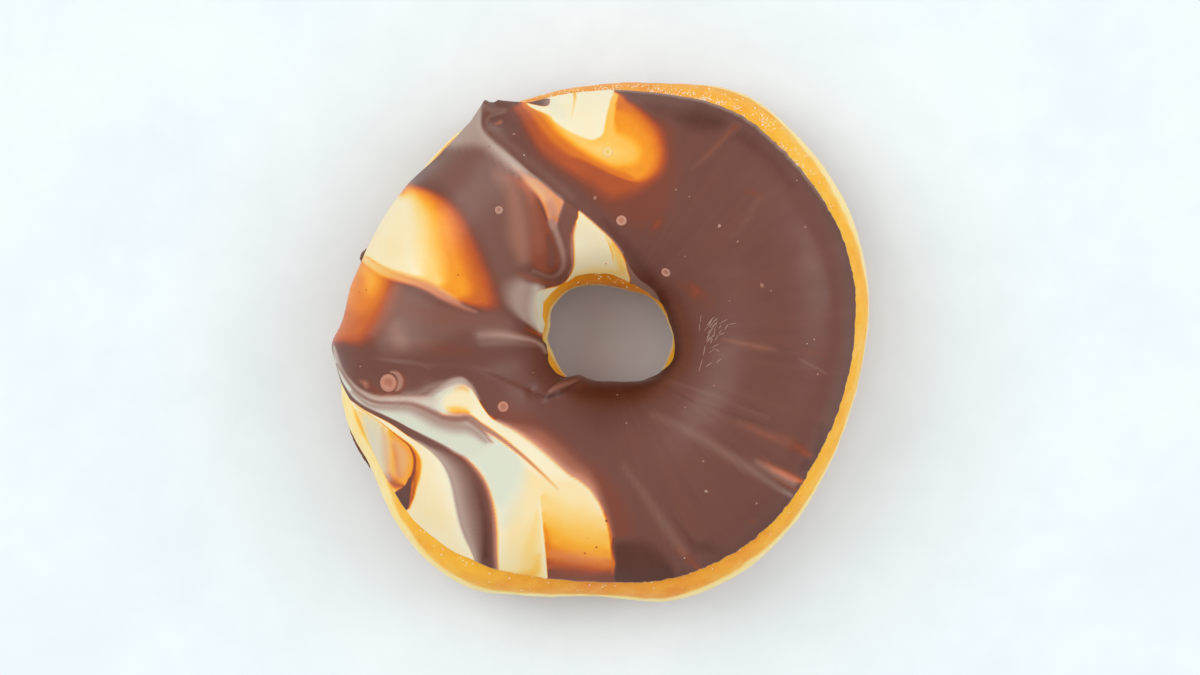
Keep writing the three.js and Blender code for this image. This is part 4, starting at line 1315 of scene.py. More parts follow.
draw("film", (0.42, 0.85), [
    (-41, -10.9, 0.05, 0.1), (-39.1, -12.1, 0.06, 0.1), (-36.6, -13.8, 0.06, 0.1), (-33.8, -16.1, 0.1, 0.14),
    (-32.2, -17.4, 0.12, 0.15), (-31.5, -18.4, 0.15, 0.16), (-31.05, -19.7, 0.2, 0.18),
    (-31.1, -21.5, 0.22, 0.2), (-31.5, -22.9, 0.28, 0.22), (-32, -24, 0.35, 0.25),
])
pour("film", 1.1, [
    (-34.4, -25.6, 0.15), (-33.9, -25.1, 0.2), (-33.1, -24.6, 0.2), (-32.4, -23.9, 0.15),
    (-31.8, -22.9, 0.12), (-31.65, -24.5, 0.12), (-31.85, -26, 0.12), (-32.1, -27.9, 0.12), (-33, -28.5, 0.2),
    (-35, -27.5, 0.2),
])

# %% Streaks and stains of the brown right half, and painted shade on it
# Painted shade: the next six strokes, of film thicker than 1, darken the brown near the top rim and round the
# hole, where the icing catches less sheen
draw("film", 1.14, [(8, 39, 0.4, 1.2), (14, 38, 1, 1.8), (20, 36, 1.2, 2), (25, 33.4, 0.6, 1.6)])
draw("film", 1.25, [(13, 37, 0.5, 2), (16.5, 36.6, 1.4, 2), (19.5, 36.2, 0.5, 1.6)])
draw("film", 1.15, [(23.5, 33.8, 0.5, 1.2), (26, 32, 0.6, 1.4), (29, 29.5, 0.4, 1.4), (31.5, 26, 0.3, 1.2)])
draw("film", 1.12, [(-4, -10.8, 0.5, 3), (0, -12.5, 2.5, 3.5), (7, -10.5, 1.2, 3)])
draw("film", 1.25, [
    (-5.4, -8.6, 0.3, 1.4), (-1.5, -8.8, 1.6, 2), (4, -8.8, 1.6, 2), (8, -7.2, 1, 1.6),
    (10.8, -4.6, 0.5, 1.2),
])
draw("film", 1.22, [
    (0.5, 20, 0.2, 1.2), (4.5, 15, 0.6, 1.5), (8, 10.5, 0.8, 1.5), (10.5, 6.5, 0.6, 1.3), (12.3, 1.5, 0.4, 1),
    (12.3, -3, 0.5, 1), (10, -5.5, 0.5, 1),
])
draw("film", 1.12, [(36.6, -14.5, 0.5, 0.8), (36.3, -17.5, 0.4, 0.7), (33.5, -21.3, 0.4, 0.6)])
draw("film", (0.76, 0.9), [
    (22.6, 35.6, 0.6, 0.7), (21.4, 34.7, 0.5, 0.6), (20.2, 33.4, 0.3, 0.5), (17.2, 30.3, 0.2, 0.5),
    (15, 28.3, 0.05, 0.4),
])
draw("veil", 0.08, [
    (21.6, 34.8, 0.1, 0.5), (20, 33, 0.2, 0.5), (17.2, 30.3, 0.15, 0.5), (15, 28.4, 0.05, 0.4),
])
draw("film", 0.84, [(23.8, 24.7, 0.1, 0.6), (25.2, 24.6, 0.3, 0.6), (26.2, 23.9, 0.4, 0.7)])
draw("veil", 0.06, [
    (26.2, 23.6, 0.2, 0.6), (24.7, 20.7, 0.2, 0.7), (23.4, 18.7, 0.2, 0.7), (21.5, 17.1, 0.1, 0.7),
])
draw("film", 0.85, [(13, 9.4, 0.3, 0.9), (15.5, 8.2, 0.8, 1.2), (18.2, 6.2, 0.4, 1)])
draw("film", 0.72, [(15.2, 8.9, 0.3, 0.7), (15.9, 8.2, 0.5, 0.8), (15.3, 7.4, 0.3, 0.7)])
tan_streak = [
    (20.2, 0.2, 0.05, 0.3), (23.4, -0.55, 0.25, 0.5), (26.5, -1.15, 0.35, 0.5), (29, -1.6, 0.05, 0.5),
]
draw_both(tan_streak, 0.78, 0.12)
draw("film", 0.86, [(31, -1, 0.05, 0.3), (35.1, -1.9, 0.15, 0.3), (37.8, -3, 0.1, 0.3)])
draw("veil", 0.14, [(33, -3.2, 0.03, 0.2), (35, -4.2, 0.08, 0.2), (37.5, -5.6, 0.1, 0.2)])
draw("veil", 0.07, [(11.5, -6.8, 0.1, 0.4), (16, -8.3, 0.2, 0.5), (22, -10.6, 0.2, 0.5), (28, -13, 0.1, 0.5)])
draw("film", 1.12, [
    (10.5, -7.6, 0.1, 0.3), (14.5, -9.8, 0.15, 0.3), (22, -12.4, 0.15, 0.35), (29, -14.6, 0.1, 0.4),
])
draw("film", 1.1, [(14, -8.2, 0.05, 0.25), (20, -9.9, 0.1, 0.3), (27, -11.8, 0.05, 0.3)])
draw("film", 0.84, [(22, -13.5, 0.05, 0.3), (25.3, -14.8, 0.15, 0.35), (28, -16, 0.1, 0.4)])
draw("veil", (0.07, 0.2), [
    (8.6, -12.4, 0.4, 0.9), (14.2, -14.9, 0.6, 0.9), (20.1, -18.5, 0.6, 0.8), (24, -20.9, 0.6, 0.7),
    (29.1, -24.4, 0.4, 0.5), (31.7, -26, 0.3, 0.35),
])
draw("film", 0.55, [
    (26.5, -20.2, 0.1, 0.9), (29, -21.6, 0.6, 0.8), (32, -23, 0.7, 0.7), (33.4, -23.5, 0.4, 0.4),
])
draw("film", 0.5, [
    (28.6, -21.6, 0.1, 0.4), (30, -22.3, 0.15, 0.4), (32, -23.3, 0.2, 0.4), (33.2, -23.6, 0.2, 0.3),
])
draw("veil", 0.3, [(26, -20.4, 0.1, 1), (29, -22, 0.6, 0.8), (32, -23.6, 0.6, 0.7)])
draw("film", 0.7, [(29, -23, 0.1, 0.4), (31, -24.2, 0.25, 0.4), (32.4, -24.9, 0.25, 0.3)])
draw("veil", 0.3, [(30.2, -25, 0.1, 0.4), (31.6, -25.8, 0.2, 0.35)])
draw("film", 0.76, [
    (24.5, -14.4, 0.2, 0.8), (28, -16, 0.5, 0.9), (30.4, -16.8, 0.7, 0.9), (33, -18, 0.8, 0.7),
    (34.6, -19, 0.6, 0.5),
])
draw("veil", 0.08, [(23, -13.8, 0.2, 0.8), (27, -15.6, 0.5, 0.9), (31, -17, 0.6, 0.9)])
draw("film", 0.68, [(33.6, -18.8, 0.2, 0.6), (35, -19.4, 0.3, 0.5)])
draw("film", 0.74, [(25, -30.2, 0.2, 0.4), (25.7, -30.1, 0.2, 0.4)])
draw("veil", 0.1, [
    (3.8, -21, 0.2, 0.8), (6.2, -24.3, 0.4, 0.8), (9, -28.3, 0.6, 0.8), (11.4, -32, 0.7, 0.8),
    (13.8, -35.4, 0.6, 0.7),
])
# Painted shade: the two strokes below with film thicker than 1 darken the brown near the bottom rim, where
# the icing catches less sheen
draw("film", 1.15, [
    (12, -29.6, 0.1, 0.4), (14.4, -32.6, 0.3, 0.6), (16, -34.4, 0.8, 0.9), (17.6, -34.6, 1, 1),
    (19, -35, 0.5, 0.8),
])
draw("film", 0.76, [(12.8, -34.6, 0.3, 1), (14.8, -36.6, 0.6, 0.9), (16.2, -38, 0.5, 0.6)])
pour("film", 1.22, [
    (2.6, -33.5, 1), (8, -34, 1.5), (10.8, -36.5, 1), (12, -38.5, 0.6), (11, -40.5, 0.5), (3, -40.5, 0.3),
    (2.4, -37, 0.3),
])
print(len(STROKES), "strokes of marbling")

# %% [markdown]
# ## The coat's refined grid
#
# Thin lines need small faces, and small faces everywhere would make a heavy mesh. So the grid starts
# coarse, and a cell is quartered wherever a fold, a line or an edge of the drawing is finer than it.
# Cells of different sizes meet, so a cell with extra points on its border is closed with triangles
# round its middle, and no crack is left.

# %% Quarter the cells that are too coarse
RIM_CELL = 0.3
TOOTH_CELL = 0.25
# A cell may be this many times as large as a stroke's softness or a fold's width
CELL_TO_SOFTNESS = 1.25
CELL_TO_FOLD = 0.6
# The corners of a cell lie this many of its sides from its middle
TO_CORNER = 0.7
# The rim's cells lie this near to it, and its teeth are in the outermost of them
RIM_ZONE = 1.2
TEETH_ZONE = 0.25


def wanted_cell(place, row, column, size):
    """The size of cell that the drawing needs at each place, given how large the cells there are."""
    wanted = np.full(len(place), np.inf)
    for _, _, line, closed in STROKES:
        places, depth, soft, _ = depth_in(line, closed, place, TO_CORNER * size.max())
        close = np.abs(depth) < soft + TO_CORNER * size[places]
        places, fine = places[close], CELL_TO_SOFTNESS * soft[close]
        wanted[places] = np.minimum(wanted[places], fine)
    for line in [*MAIN_FOLDS, *SMALL_FOLDS.values()]:
        places = near(line, place, 3 * size.max())
        index, distance = nearest(line, *place[places].T)
        width = line[index, 3:].min(axis=1)
        close = distance < width + TO_CORNER * size[places]
        wanted[places[close]] = np.minimum(wanted[places[close]], CELL_TO_FOLD * width[close])
    at_outer_rim = from_rim[row, column] < TEETH_ZONE
    rim_wanted = np.where(at_outer_rim & (toothed[row] > 0.2), TOOTH_CELL, RIM_CELL)
    return np.where(rim_distance(row, column) < RIM_ZONE, np.minimum(wanted, rim_wanted), wanted)


def refined_cells():
    """Groups of cells as (first rows, first columns, steps to a side), from coarse to fine."""
    row, column = (first.ravel() * FINEST for first in np.mgrid[:BASE_ROWS, :LATTICE[1] // FINEST])
    groups = []
    side = FINEST
    while side > 1:
        middle = (row + side // 2) % LATTICE[0], (column + side // 2) % LATTICE[1]
        points = coat_points(*middle)
        points = coat_points(*middle, relief(seen_places(*middle, points)))
        place = seen_places(*middle, points)
        along_ring = side * TURN / LATTICE[0] * np.hypot(*place.T)
        step = np.abs(from_rim[row, (column + side) % LATTICE[1]] - from_rim[row, column])
        on_top = (column + side) < top_lifts.shape[1]
        size = np.maximum(along_ring, np.where(on_top, step, 0))
        coarse = on_top & (size > wanted_cell(place, *middle, size))
        groups.append((row[~coarse], column[~coarse], side))
        side //= 2
        quarters = [(row[coarse] + a, column[coarse] + b) for a in (0, side) for b in (0, side)]
        row, column = (np.concatenate(parts) for parts in zip(*quarters))
    groups.append((row, column, 1))
    return groups


groups = refined_cells()
print("cells by size:", {side: len(row) for row, _, side in groups})


# %% Close the cells where sizes meet
def lattice_key(row, column):
    return row % LATTICE[0] * LATTICE[1] + column % LATTICE[1]


used = np.zeros(LATTICE[0] * LATTICE[1], bool)
for row, column, side in groups:
    for a, b in ((0, 0), (side, 0), (side, side), (0, side)):
        used[lattice_key(row + a, column + b)] = True
quads, triangles = [], []
for row, column, side in groups:
    steps = range(side)
    border = [(k, 0) for k in steps] + [(side, k) for k in steps]
    border += [(side - k, side) for k in steps] + [(0, side - k) for k in steps]
    keys = np.stack([lattice_key(row + a, column + b) for a, b in border], axis=1)
    plain = used[keys].sum(axis=1) == 4
    quads.append(keys[plain][:, ::side])
    middles = lattice_key(row + side // 2, column + side // 2)
    for ring_keys, middle in zip(keys[~plain], middles[~plain]):
        ring_keys = ring_keys[used[ring_keys]]
        triangles += zip(ring_keys, np.roll(ring_keys, -1), [middle] * len(ring_keys))
quads, triangles = np.vstack(quads), np.array(triangles)
keys = np.unique(np.concatenate([quads.ravel(), triangles.ravel()]))
print("coat:", len(keys), "points,", 2 * len(quads) + len(triangles), "triangles")


# %% Paint the coat and make it
def painted(place):
    """Film and veil at places in plan, with the strokes laid on in their order."""
    layers = {"film": np.ones(len(place)), "veil": np.zeros(len(place))}
    for name, value, line, closed in STROKES:
        places, depth, soft, share = depth_in(line, closed, place)
        first, last = value if isinstance(value, tuple) else (value, value)
        layer = layers[name]
        target = first + (last - first) * share
        layer[places] += (target - layer[places]) * soft_step(-soft, soft, depth)
    return layers


row, column = np.divmod(keys, LATTICE[1])
coat = coat_points(row, column)
raised = relief(seen_places(row, column, coat))
coat = coat_points(row, column, raised)
coat_seen = seen_places(row, column, coat)
layers = painted(coat_seen)
faces = np.searchsorted(keys, quads).tolist() + np.searchsorted(keys, triangles).tolist()
icing = new_piece("icing_coat", coat, faces)
print("relief from", raised.min().round(2), "to", raised.max().round(2), "mm")

# %% Painted shade and highlight along the rim, and where the brown shows streaks
# Painted shade: the brown is drawn a little darker along the coat's rim, where its surface turns away from
# the light
layers["film"] += 0.12 * np.exp(-((rim_distance(row, column) / 2.2) ** 2)) * (layers["film"] > 0.85)
# Painted highlight: at the top right the coat's very edge gets veil, drawn paler as if its thin edge caught
# the light
rim_angle = np.arctan2(coat_seen[:, 1], coat_seen[:, 0])
painted_edge_highlight = np.exp(-(((from_rim[row, column] - 0.8) / 0.35) ** 2)) * soft_step(0.45, 0.7, rim_angle)
painted_edge_highlight *= soft_step(1.62, 1.5, rim_angle)
layers["veil"] += 0.3 * painted_edge_highlight
right_half = soft_step(-8, 6, coat_seen[:, 0]) * soft_step(0.75, 0.95, layers["film"])
layers["streaky"] = 0.15 + 0.85 * right_half
for name, values in layers.items():
    set_attribute(icing, name, values)

# %% [markdown]
# ## The icing's material
#
# The colour of a film is a ramp from cream through amber and rust to brown. A veil is mixed over it:
# thin, it is warm, and only where it is thick does it turn cool white. All the icing's pieces share
# this, so it is a node group. Fine streaks run from the hole outwards, because the coat was drawn that
# way as it was lifted: noise is stretched along the radius by feeding it the direction from the middle
# instead of the place.

# %% The colour of two chocolates
# A film may be as thick as this, where it is darkest. Values above 1 serve both for thick milk chocolate and
# as painted shade on the brown
THICKEST_FILM = 1.25
FILM_COLOURS = [
    (0.0, srgb(243, 229, 194)), (0.12, srgb(245, 212, 140)), (0.2, srgb(247, 194, 92)),
    (0.28, srgb(247, 174, 44)), (0.35, srgb(243, 150, 14)), (0.42, srgb(228, 122, 8)),
    (0.55, srgb(192, 84, 18)), (0.68, srgb(154, 67, 32)), (0.82, srgb(124, 60, 38)),
    (1.0, srgb(111, 64, 51)), (1.25, srgb(84, 38, 22)),
]
VEIL_COLOURS = [
    (0.0, srgb(211, 176, 155)), (0.55, srgb(209, 182, 165)), (0.8, srgb(212, 200, 184)),
    (1.0, srgb(216, 218, 196)),
]


def chocolate_group():
    inputs = {"Film": 1.0, "Veil": 0.0}
    tree, given, out = new_tree("Two chocolates", "ShaderNodeTree", inputs, {"Color": "Color"})
    film, veil = given.outputs["Film"], given.outputs["Veil"]
    share = maths(tree, "DIVIDE", film, THICKEST_FILM)
    under = ramp(tree, share, [(value / THICKEST_FILM, colour) for value, colour in FILM_COLOURS])
    # Over white chocolate even a thin veil is white: only the milk chocolate beneath warms it
    whiteness = maths(tree, "MAXIMUM", veil, maths(tree, "SUBTRACT", 1.0, film))
    sockets = {"Factor": veil, "A": under, "B": ramp(tree, whiteness, VEIL_COLOURS)}
    mixed = node(tree, "ShaderNodeMix", sockets, data_type="RGBA")
    tree.links.new(mixed.outputs["Result"], out.inputs[0])
    return tree


CHOCOLATES = chocolate_group()


# %% Fine radial streaks
def radial_streaks(tree, count, wander_size):
    """Noise drawn out along the radius: count streaks round the ring, changing over wander_size."""
    place = node(tree, "ShaderNodeTexCoord").outputs["Object"]
    middle = tuple(-CENTRE * MM) + (0.0,)
    centred = node(tree, "ShaderNodeMapping", {"Vector": place, "Location": middle}).outputs[0]
    x, y, _ = node(tree, "ShaderNodeSeparateXYZ", {0: centred}).outputs
    squares = maths(tree, "ADD", maths(tree, "MULTIPLY", x, x), maths(tree, "MULTIPLY", y, y))
    radius = maths(tree, "SQRT", squares)
    spread = maths(tree, "DIVIDE", count / TURN, radius)
    sockets = {
        0: maths(tree, "MULTIPLY", x, spread), 1: maths(tree, "MULTIPLY", y, spread),
        2: maths(tree, "DIVIDE", radius, wander_size * MM),
    }
    direction = node(tree, "ShaderNodeCombineXYZ", sockets).outputs[0]
    return node(tree, "ShaderNodeTexNoise", {"Vector": direction, "Scale": 1.0, "Detail": 2.0}).outputs[0]


def icing_material():
    material, tree, shader = new_material(
        "marbled_icing", Subsurface_Weight=0.06, Subsurface_Scale=0.0015, IOR=1.46, Specular_IOR_Level=0.4,
    )
    values = {}
    for name in ("film", "veil", "streaky"):
        values[name] = node(tree, "ShaderNodeAttribute", attribute_name=name).outputs["Fac"]
    broad = maths(tree, "SUBTRACT", radial_streaks(tree, 110, 30), 0.5)
    narrow = maths(tree, "SUBTRACT", radial_streaks(tree, 330, 18), 0.5)
    streaks = maths(tree, "ADD", maths(tree, "MULTIPLY", broad, 0.09), maths(tree, "MULTIPLY", narrow, 0.03))
    streaks = maths(tree, "MULTIPLY", streaks, values["streaky"])
    clouds = maths(tree, "MULTIPLY", mottling(tree, 6.0, 1.2, 0.3), 0.08)
    film_value = maths(tree, "ADD", maths(tree, "ADD", values["film"], clouds), streaks)
    lighter = maths(tree, "MAXIMUM", maths(tree, "MULTIPLY", streaks, -1.0), 0.0)
    veil_value = maths(tree, "ADD", values["veil"], maths(tree, "MULTIPLY", lighter, 0.5))
    sockets = {"Film": film_value, "Veil": veil_value}
    colour = node(tree, "ShaderNodeGroup", sockets, node_tree=CHOCOLATES)
    tree.links.new(colour.outputs[0], shader.inputs["Base Color"])
    gloss = mottling(tree, 4.0, 0.6, 0.4)
    tree.links.new(remap(tree, gloss, -0.4, 0.4, 0.3, 0.42), shader.inputs["Roughness"])
    bump = node(tree, "ShaderNodeBump", {"Height": gloss, "Strength": 0.08, "Distance": 0.0001})
    tree.links.new(bump.outputs[0], shader.inputs["Normal"])
    return material


marbled_icing = icing_material()
icing.data.materials.append(marbled_icing)

# %% [markdown]
# ## The smear and the drop
#
# Two bits of icing caught the side of the dough. Each is a ball pressed flat against the skin, so that
# it follows the dough's surface. Noise makes their outlines ragged.

# %% Lumps on the dough's side
# Angles are in degrees. The slope is how much higher a lump's far end lies than its middle
SMEAR = {"angle": 204, "height": 12.9, "half_angle": 5.6, "half_height": 0.9, "thickness": 0.5, "slope": 0.9}
DROP = {"angle": 160.5, "height": 9.7, "half_angle": 2.3, "half_height": 1.9, "thickness": 2.3, "slope": 0}
# Both are almost pure milk chocolate
LUMP_FILM = 0.94


def band_faces(rows, turns):
    """The faces of a grid of points that closes on itself along its rows only."""
    index = np.arange(rows * turns).reshape(rows, turns)
    ahead = np.roll(index, -1, axis=1)
    return np.stack([index[:-1], index[1:], ahead[1:], ahead[:-1]], axis=-1).reshape(-1, 4).tolist()


def lump(name, angle, height, half_angle, half_height, thickness, slope, ragged):
    """A flattened ball on the dough's side, with a ragged outline."""
    rings, turns = 24, 72
    polar = np.linspace(0, math.pi, rings)[:, None]
    spin = np.linspace(0, TURN, turns, endpoint=False)[None, :]
    along, up, out = np.sin(polar) * np.cos(spin), np.sin(polar) * np.sin(spin), np.cos(polar) + 0 * spin
    ball = np.stack([along, up, out], axis=-1)
    torn = 1 + ragged * wander(ball * 1.5, 0.35, 11) * np.sin(polar) - ragged * 0.5 * np.sin(polar)
    at = np.radians(angle + along * torn * half_angle)
    lifts = lift_at(at, height + slope * along + up * torn * half_height)
    stand = -SUNK + (thickness * torn + SUNK) * (0.5 + 0.5 * out)
    points = dough_point(at, lifts) + outward(at, lifts) * stand[..., None]
    return new_piece(name, points, band_faces(rings, turns))


# %% Clean and colour the lumps
import bmesh


def cleaned(made):
    """Merges doubled points, as at the poles, and turns all faces outwards."""
    work = bmesh.new()
    work.from_mesh(made.data)
    bmesh.ops.remove_doubles(work, verts=work.verts, dist=1e-6)
    bmesh.ops.dissolve_degenerate(work, edges=work.edges, dist=1e-7)
    bmesh.ops.recalc_face_normals(work, faces=work.faces)
    for face in work.faces:
        face.smooth = True
    work.to_mesh(made.data)
    work.free()


smear = lump("side_smear", **SMEAR, ragged=0.7)
drop = lump("side_drop", **DROP, ragged=0.3)
for piece in (smear, drop):
    cleaned(piece)
    for name, value in (("film", LUMP_FILM), ("veil", 0), ("streaky", 0)):
        set_attribute(piece, name, np.full(len(piece.data.vertices), value))
    piece.data.materials.append(marbled_icing)
    print(piece.name, "has", len(piece.data.polygons), "faces")

# %% [markdown]
# ## Bubbles, flecks and scratches
#
# Bubbles rose in the icing and burst as it set, leaving shallow rings, with painted shade in their sunken
# middles and round their feet. Crumbs and dust left flecks, and there are tiny white dots as well.
# Something brushed the icing beside the hole. Each kind is one small shape that repeats, so Geometry Nodes
# stands a copy of it on every point of a list and turns it to the icing there. A ray from the camera finds
# the icing under a place of the drawing.

# %% What lies on the icing
# Rows are x, y, width, film and veil
BUBBLES = [
    (-35.4, -7.15, 3.1, 0.6, 0.36), (-16.3, -11.1, 1.9, 0.6, 0.36), (-17, 21.65, 1.4, 0.66, 0.48),
    (3.4, 19.9, 1.8, 0.56, 0.5), (10.8, 11.25, 1.65, 0.62, 0.5), (1.1, 31.3, 1.7, 0.15, 0.14),
]
FLECKS = [
    (19.7, 19, 0.7, 0.7, 0.5), (-1, 23.65, 0.8, 0.72, 0.26), (-14.5, 34.3, 0.6, 0.75, 0.3),
    (17.5, -25.2, 0.7, 0.8, 0.4), (17, -20.2, 0.5, 0.8, 0.3), (22.75, 16.4, 0.5, 0.8, 0.3),
    (12.5, 25, 0.5, 0.8, 0.25), (14.7, 23.9, 0.4, 0.8, 0.3), (34, 18.8, 0.6, 0.75, 0.25),
    (26.8, 9.1, 0.9, 0.75, 0.25), (28.3, 8.2, 0.4, 0.75, 0.25), (21.4, 6.5, 0.3, 0.8, 0.35),
    (18.8, -7.6, 0.5, 0.85, 0.2), (14, -11.2, 0.5, 0.8, 0.25), (25.9, -27.2, 0.5, 0.75, 0.35),
    (36.1, -5.7, 0.4, 0.6, 0.4), (2.7, -9.1, 0.5, 0.9, 0.25), (4.2, -13.8, 0.5, 0.9, 0.25),
    (13.95, 13.9, 0.4, 0.8, 0.3), (-12.8, 30.8, 0.3, 0.4, 0.9), (13.9, -36.3, 0.3, 0.3, 0.85),
    (35.5, 0.1, 0.22, 0.4, 0.9), (34.3, -0.6, 0.2, 0.4, 0.9), (32.6, 26.6, 0.22, 0.4, 0.9),
    (-11.3, -5.4, 0.22, 0.5, 0.7), (-40.1, -4.4, 0.4, 0.7, 0.4), (0.9, -30.1, 0.6, 0.66, 0),
    (-0.75, -34.5, 0.45, 0.55, 0), (-2.7, -35.5, 0.5, 0.5, 0), (-2.15, -33, 0.22, 0.5, 0),
    (-23.8, 10.85, 0.4, 0.5, 0), (-40.3, 8, 0.35, 0.6, 0), (-39.1, 8.35, 0.35, 0.62, 0),
    (0.85, 12.7, 0.35, 0.5, 0), (-18.6, 32.2, 0.3, 0.9, 0),
]
# Rows are x and y of both ends of a scratch, and its width
SCRATCHES = [
    (17.5, -0.1, 16.9, -3.2, 0.13), (16.9, -3.2, 16.2, -5.4, 0.12), (16.4, 1.5, 16.4, 2.8, 0.12),
    (16.4, 2.8, 16.8, 4.2, 0.1), (17.4, 2.4, 18.7, 3.5, 0.12), (18, 2.1, 18.8, 3, 0.13),
    (17.1, 1.6, 17.9, 2.2, 0.1), (18.2, 3.3, 18.9, 3.8, 0.1), (18.7, 0.4, 19, 2, 0.11),
    (19, 2, 19.4, 3.4, 0.1), (19.6, 2, 20, 2.4, 0.12), (19.6, 2.7, 21, 3.4, 0.12),
    (20.5, 1.7, 21.2, 2.6, 0.13), (21.2, 2.6, 22.5, 2.8, 0.1), (19, 0, 19.5, 0.8, 0.1),
    (19.5, 0.8, 20.6, 1.2, 0.12), (17.5, 0, 18, 0.8, 0.16), (17.9, 0.8, 18.4, 1.4, 0.12),
    (18.2, -0.5, 18.6, 0.2, 0.13), (18.5, -1.2, 19.6, -0.7, 0.12), (17.9, -2.1, 19, -1.5, 0.1),
    (19, -1.5, 19.7, -1.9, 0.1), (17.4, -4.4, 18.5, -3.8, 0.14), (19.2, -3.7, 20, -3.2, 0.12),
    (19.6, 1.1, 20.1, 1.7, 0.1), (17.8, 2.3, 18.5, 3.3, 0.2), (18.3, 2, 19.2, 2.8, 0.18),
    (17.6, -0.3, 18.3, 0.5, 0.2), (18.6, 3, 19.4, 3.6, 0.16), (17.7, 1.2, 18.7, 1.9, 0.16),
    (17.4, -0.2, 18.1, 1.2, 0.14), (18, -0.1, 18.8, 0.9, 0.14),
]


# %% Stand copies of a shape on the icing
def round_shape(name, profile, turns):
    """A shape one unit wide, turned from rows of radius and height, for Geometry Nodes to copy."""
    radius, height = np.array(profile).T[..., None]
    spin = np.linspace(0, TURN, turns, endpoint=False)
    points = np.stack([radius * np.cos(spin) / 2, radius * np.sin(spin) / 2, height + 0 * spin], axis=-1)
    mesh = bpy.data.meshes.new(name)
    mesh.from_pydata(points.reshape(-1, 3).tolist(), [], band_faces(len(points), turns))
    made = bpy.data.objects.new(name, mesh)
    cleaned(made)
    # Painted shade: it is drawn darker in the sunken middle and where it meets the icing
    off_middle = np.array([math.hypot(point.co.x, point.co.y) for point in mesh.vertices])
    set_attribute(made, "pit", soft_step(0.3, 0.16, off_middle) + soft_step(0.42, 0.5, off_middle))
    return made


def marks_tree():
    tree, given, out = new_growth("Marks on icing", {"Shape": "Object", "Pit shade": 0.5})

    def named(name, kind):
        sockets = {"Name": name}
        return node(tree, "GeometryNodeInputNamedAttribute", sockets, data_type=kind).outputs["Attribute"]

    shape = node(tree, "GeometryNodeObjectInfo", {"Object": given.outputs["Shape"]}).outputs["Geometry"]
    sockets = {
        "Points": given.outputs["Geometry"], "Instance": shape,
        "Rotation": named("turned", "FLOAT_VECTOR"), "Scale": named("sizes", "FLOAT_VECTOR"),
    }
    stood = node(tree, "GeometryNodeInstanceOnPoints", sockets)
    real = node(tree, "GeometryNodeRealizeInstances", {0: stood.outputs[0]})
    # Painted shade: the pit attribute thins the veil and thickens the film
    painted_shade = maths(tree, "MULTIPLY", named("pit", "FLOAT"), given.outputs["Pit shade"])
    veil = maths(tree, "MULTIPLY", named("veil", "FLOAT"), maths(tree, "SUBTRACT", 1.0, painted_shade))
    film = maths(tree, "ADD", named("film", "FLOAT"), maths(tree, "MULTIPLY", painted_shade, 0.12))
    stored = real
    for name, value in (("veil", veil), ("film", film)):
        sockets = {"Geometry": stored.outputs[0], "Name": name, "Value": value}
        stored = node(tree, "GeometryNodeStoreNamedAttribute", sockets, data_type="FLOAT", domain="POINT")
    dress(tree, given, out, stored.outputs[0])
    return tree


def on_icing(x, y):
    """Where the icing shows at a place of the drawing, from the ring's middle, and which way it faces."""
    eye = Vector((*(CENTRE + CAMERA_PLACE), CAMERA_HEIGHT))
    seen = Vector((*(CENTRE + (x, y)), DRAWN_AT))
    _, place, facing, _ = icing.ray_cast(eye * MM, (seen - eye).normalized())
    return place / MM - Vector((*CENTRE, 0)), facing


def marks(name, shape, rows, pit_shade=0.0):
    """Copies of a shape on the icing. Rows are x, y, heading, length, width, height, film and veil."""
    places, turned = [], []
    for x, y, heading, *_ in rows:
        place, facing = on_icing(x, y)
        along = Vector((math.cos(heading), math.sin(heading), 0))
        along = (along - facing * along.dot(facing)).normalized()
        turned.append(Matrix((along, facing.cross(along), facing)).transposed().to_euler())
        places.append(place)
    made = new_piece(name, places, [])
    table = np.array(rows)
    set_attribute(made, "turned", turned, vectors=True)
    set_attribute(made, "sizes", table[:, 3:6] * MM, vectors=True)
    set_attribute(made, "film", table[:, 6])
    set_attribute(made, "veil", table[:, 7])
    return grown(made, MARKS, {"Shape": shape, "Pit shade": pit_shade, "Material": marbled_icing})


# %% Make the marks
MARKS = marks_tree()
bpy.context.view_layer.update()
bubble = round_shape("bubble", [
    (0, 0.2), (0.3, 0.22), (0.42, 0.4), (0.54, 0.75), (0.72, 1), (0.88, 0.85), (0.97, 0.4), (1.02, -0.6),
    (0, -0.6),
], 40)
fleck = round_shape("fleck", [(0, 1), (0.5, 0.85), (0.85, 0.4), (1, -0.6), (0, -0.6)], 10)
# Heights of bubbles and flecks for each millimetre of width, and of every bubble and scratch
BUBBLE_RISE = 0.05
FLECK_RISE = 0.12
BUBBLE_HEIGHT = 0.05
SCRATCH_HEIGHT = 0.025
# Scratches that meet run into each other by this much
SCRATCH_OVERLAP = 0.3
SCRATCH_FILM = 0.78
SCRATCH_VEIL = 0.52
PIT_SHADE = 0.4
bubbles = marks("icing_bubbles", bubble, [
    (x, y, 0, wide, wide, BUBBLE_HEIGHT + BUBBLE_RISE * wide, film, veil)
    for x, y, wide, film, veil in BUBBLES
], PIT_SHADE)
flecks = marks("icing_flecks", fleck, [
    (x, y, 5 * x, wide, 0.8 * wide, FLECK_RISE * wide, film, veil)
    for x, y, wide, film, veil in FLECKS
])
scratches = marks("icing_scratches", fleck, [
    (
        (x + far_x) / 2, (y + far_y) / 2, math.atan2(far_y - y, far_x - x),
        math.hypot(far_x - x, far_y - y) + SCRATCH_OVERLAP, wide, SCRATCH_HEIGHT, SCRATCH_FILM, SCRATCH_VEIL,
    )
    for x, y, far_x, far_y, wide in SCRATCHES
])
for shape in (bubble, fleck):
    bpy.data.objects.remove(shape)

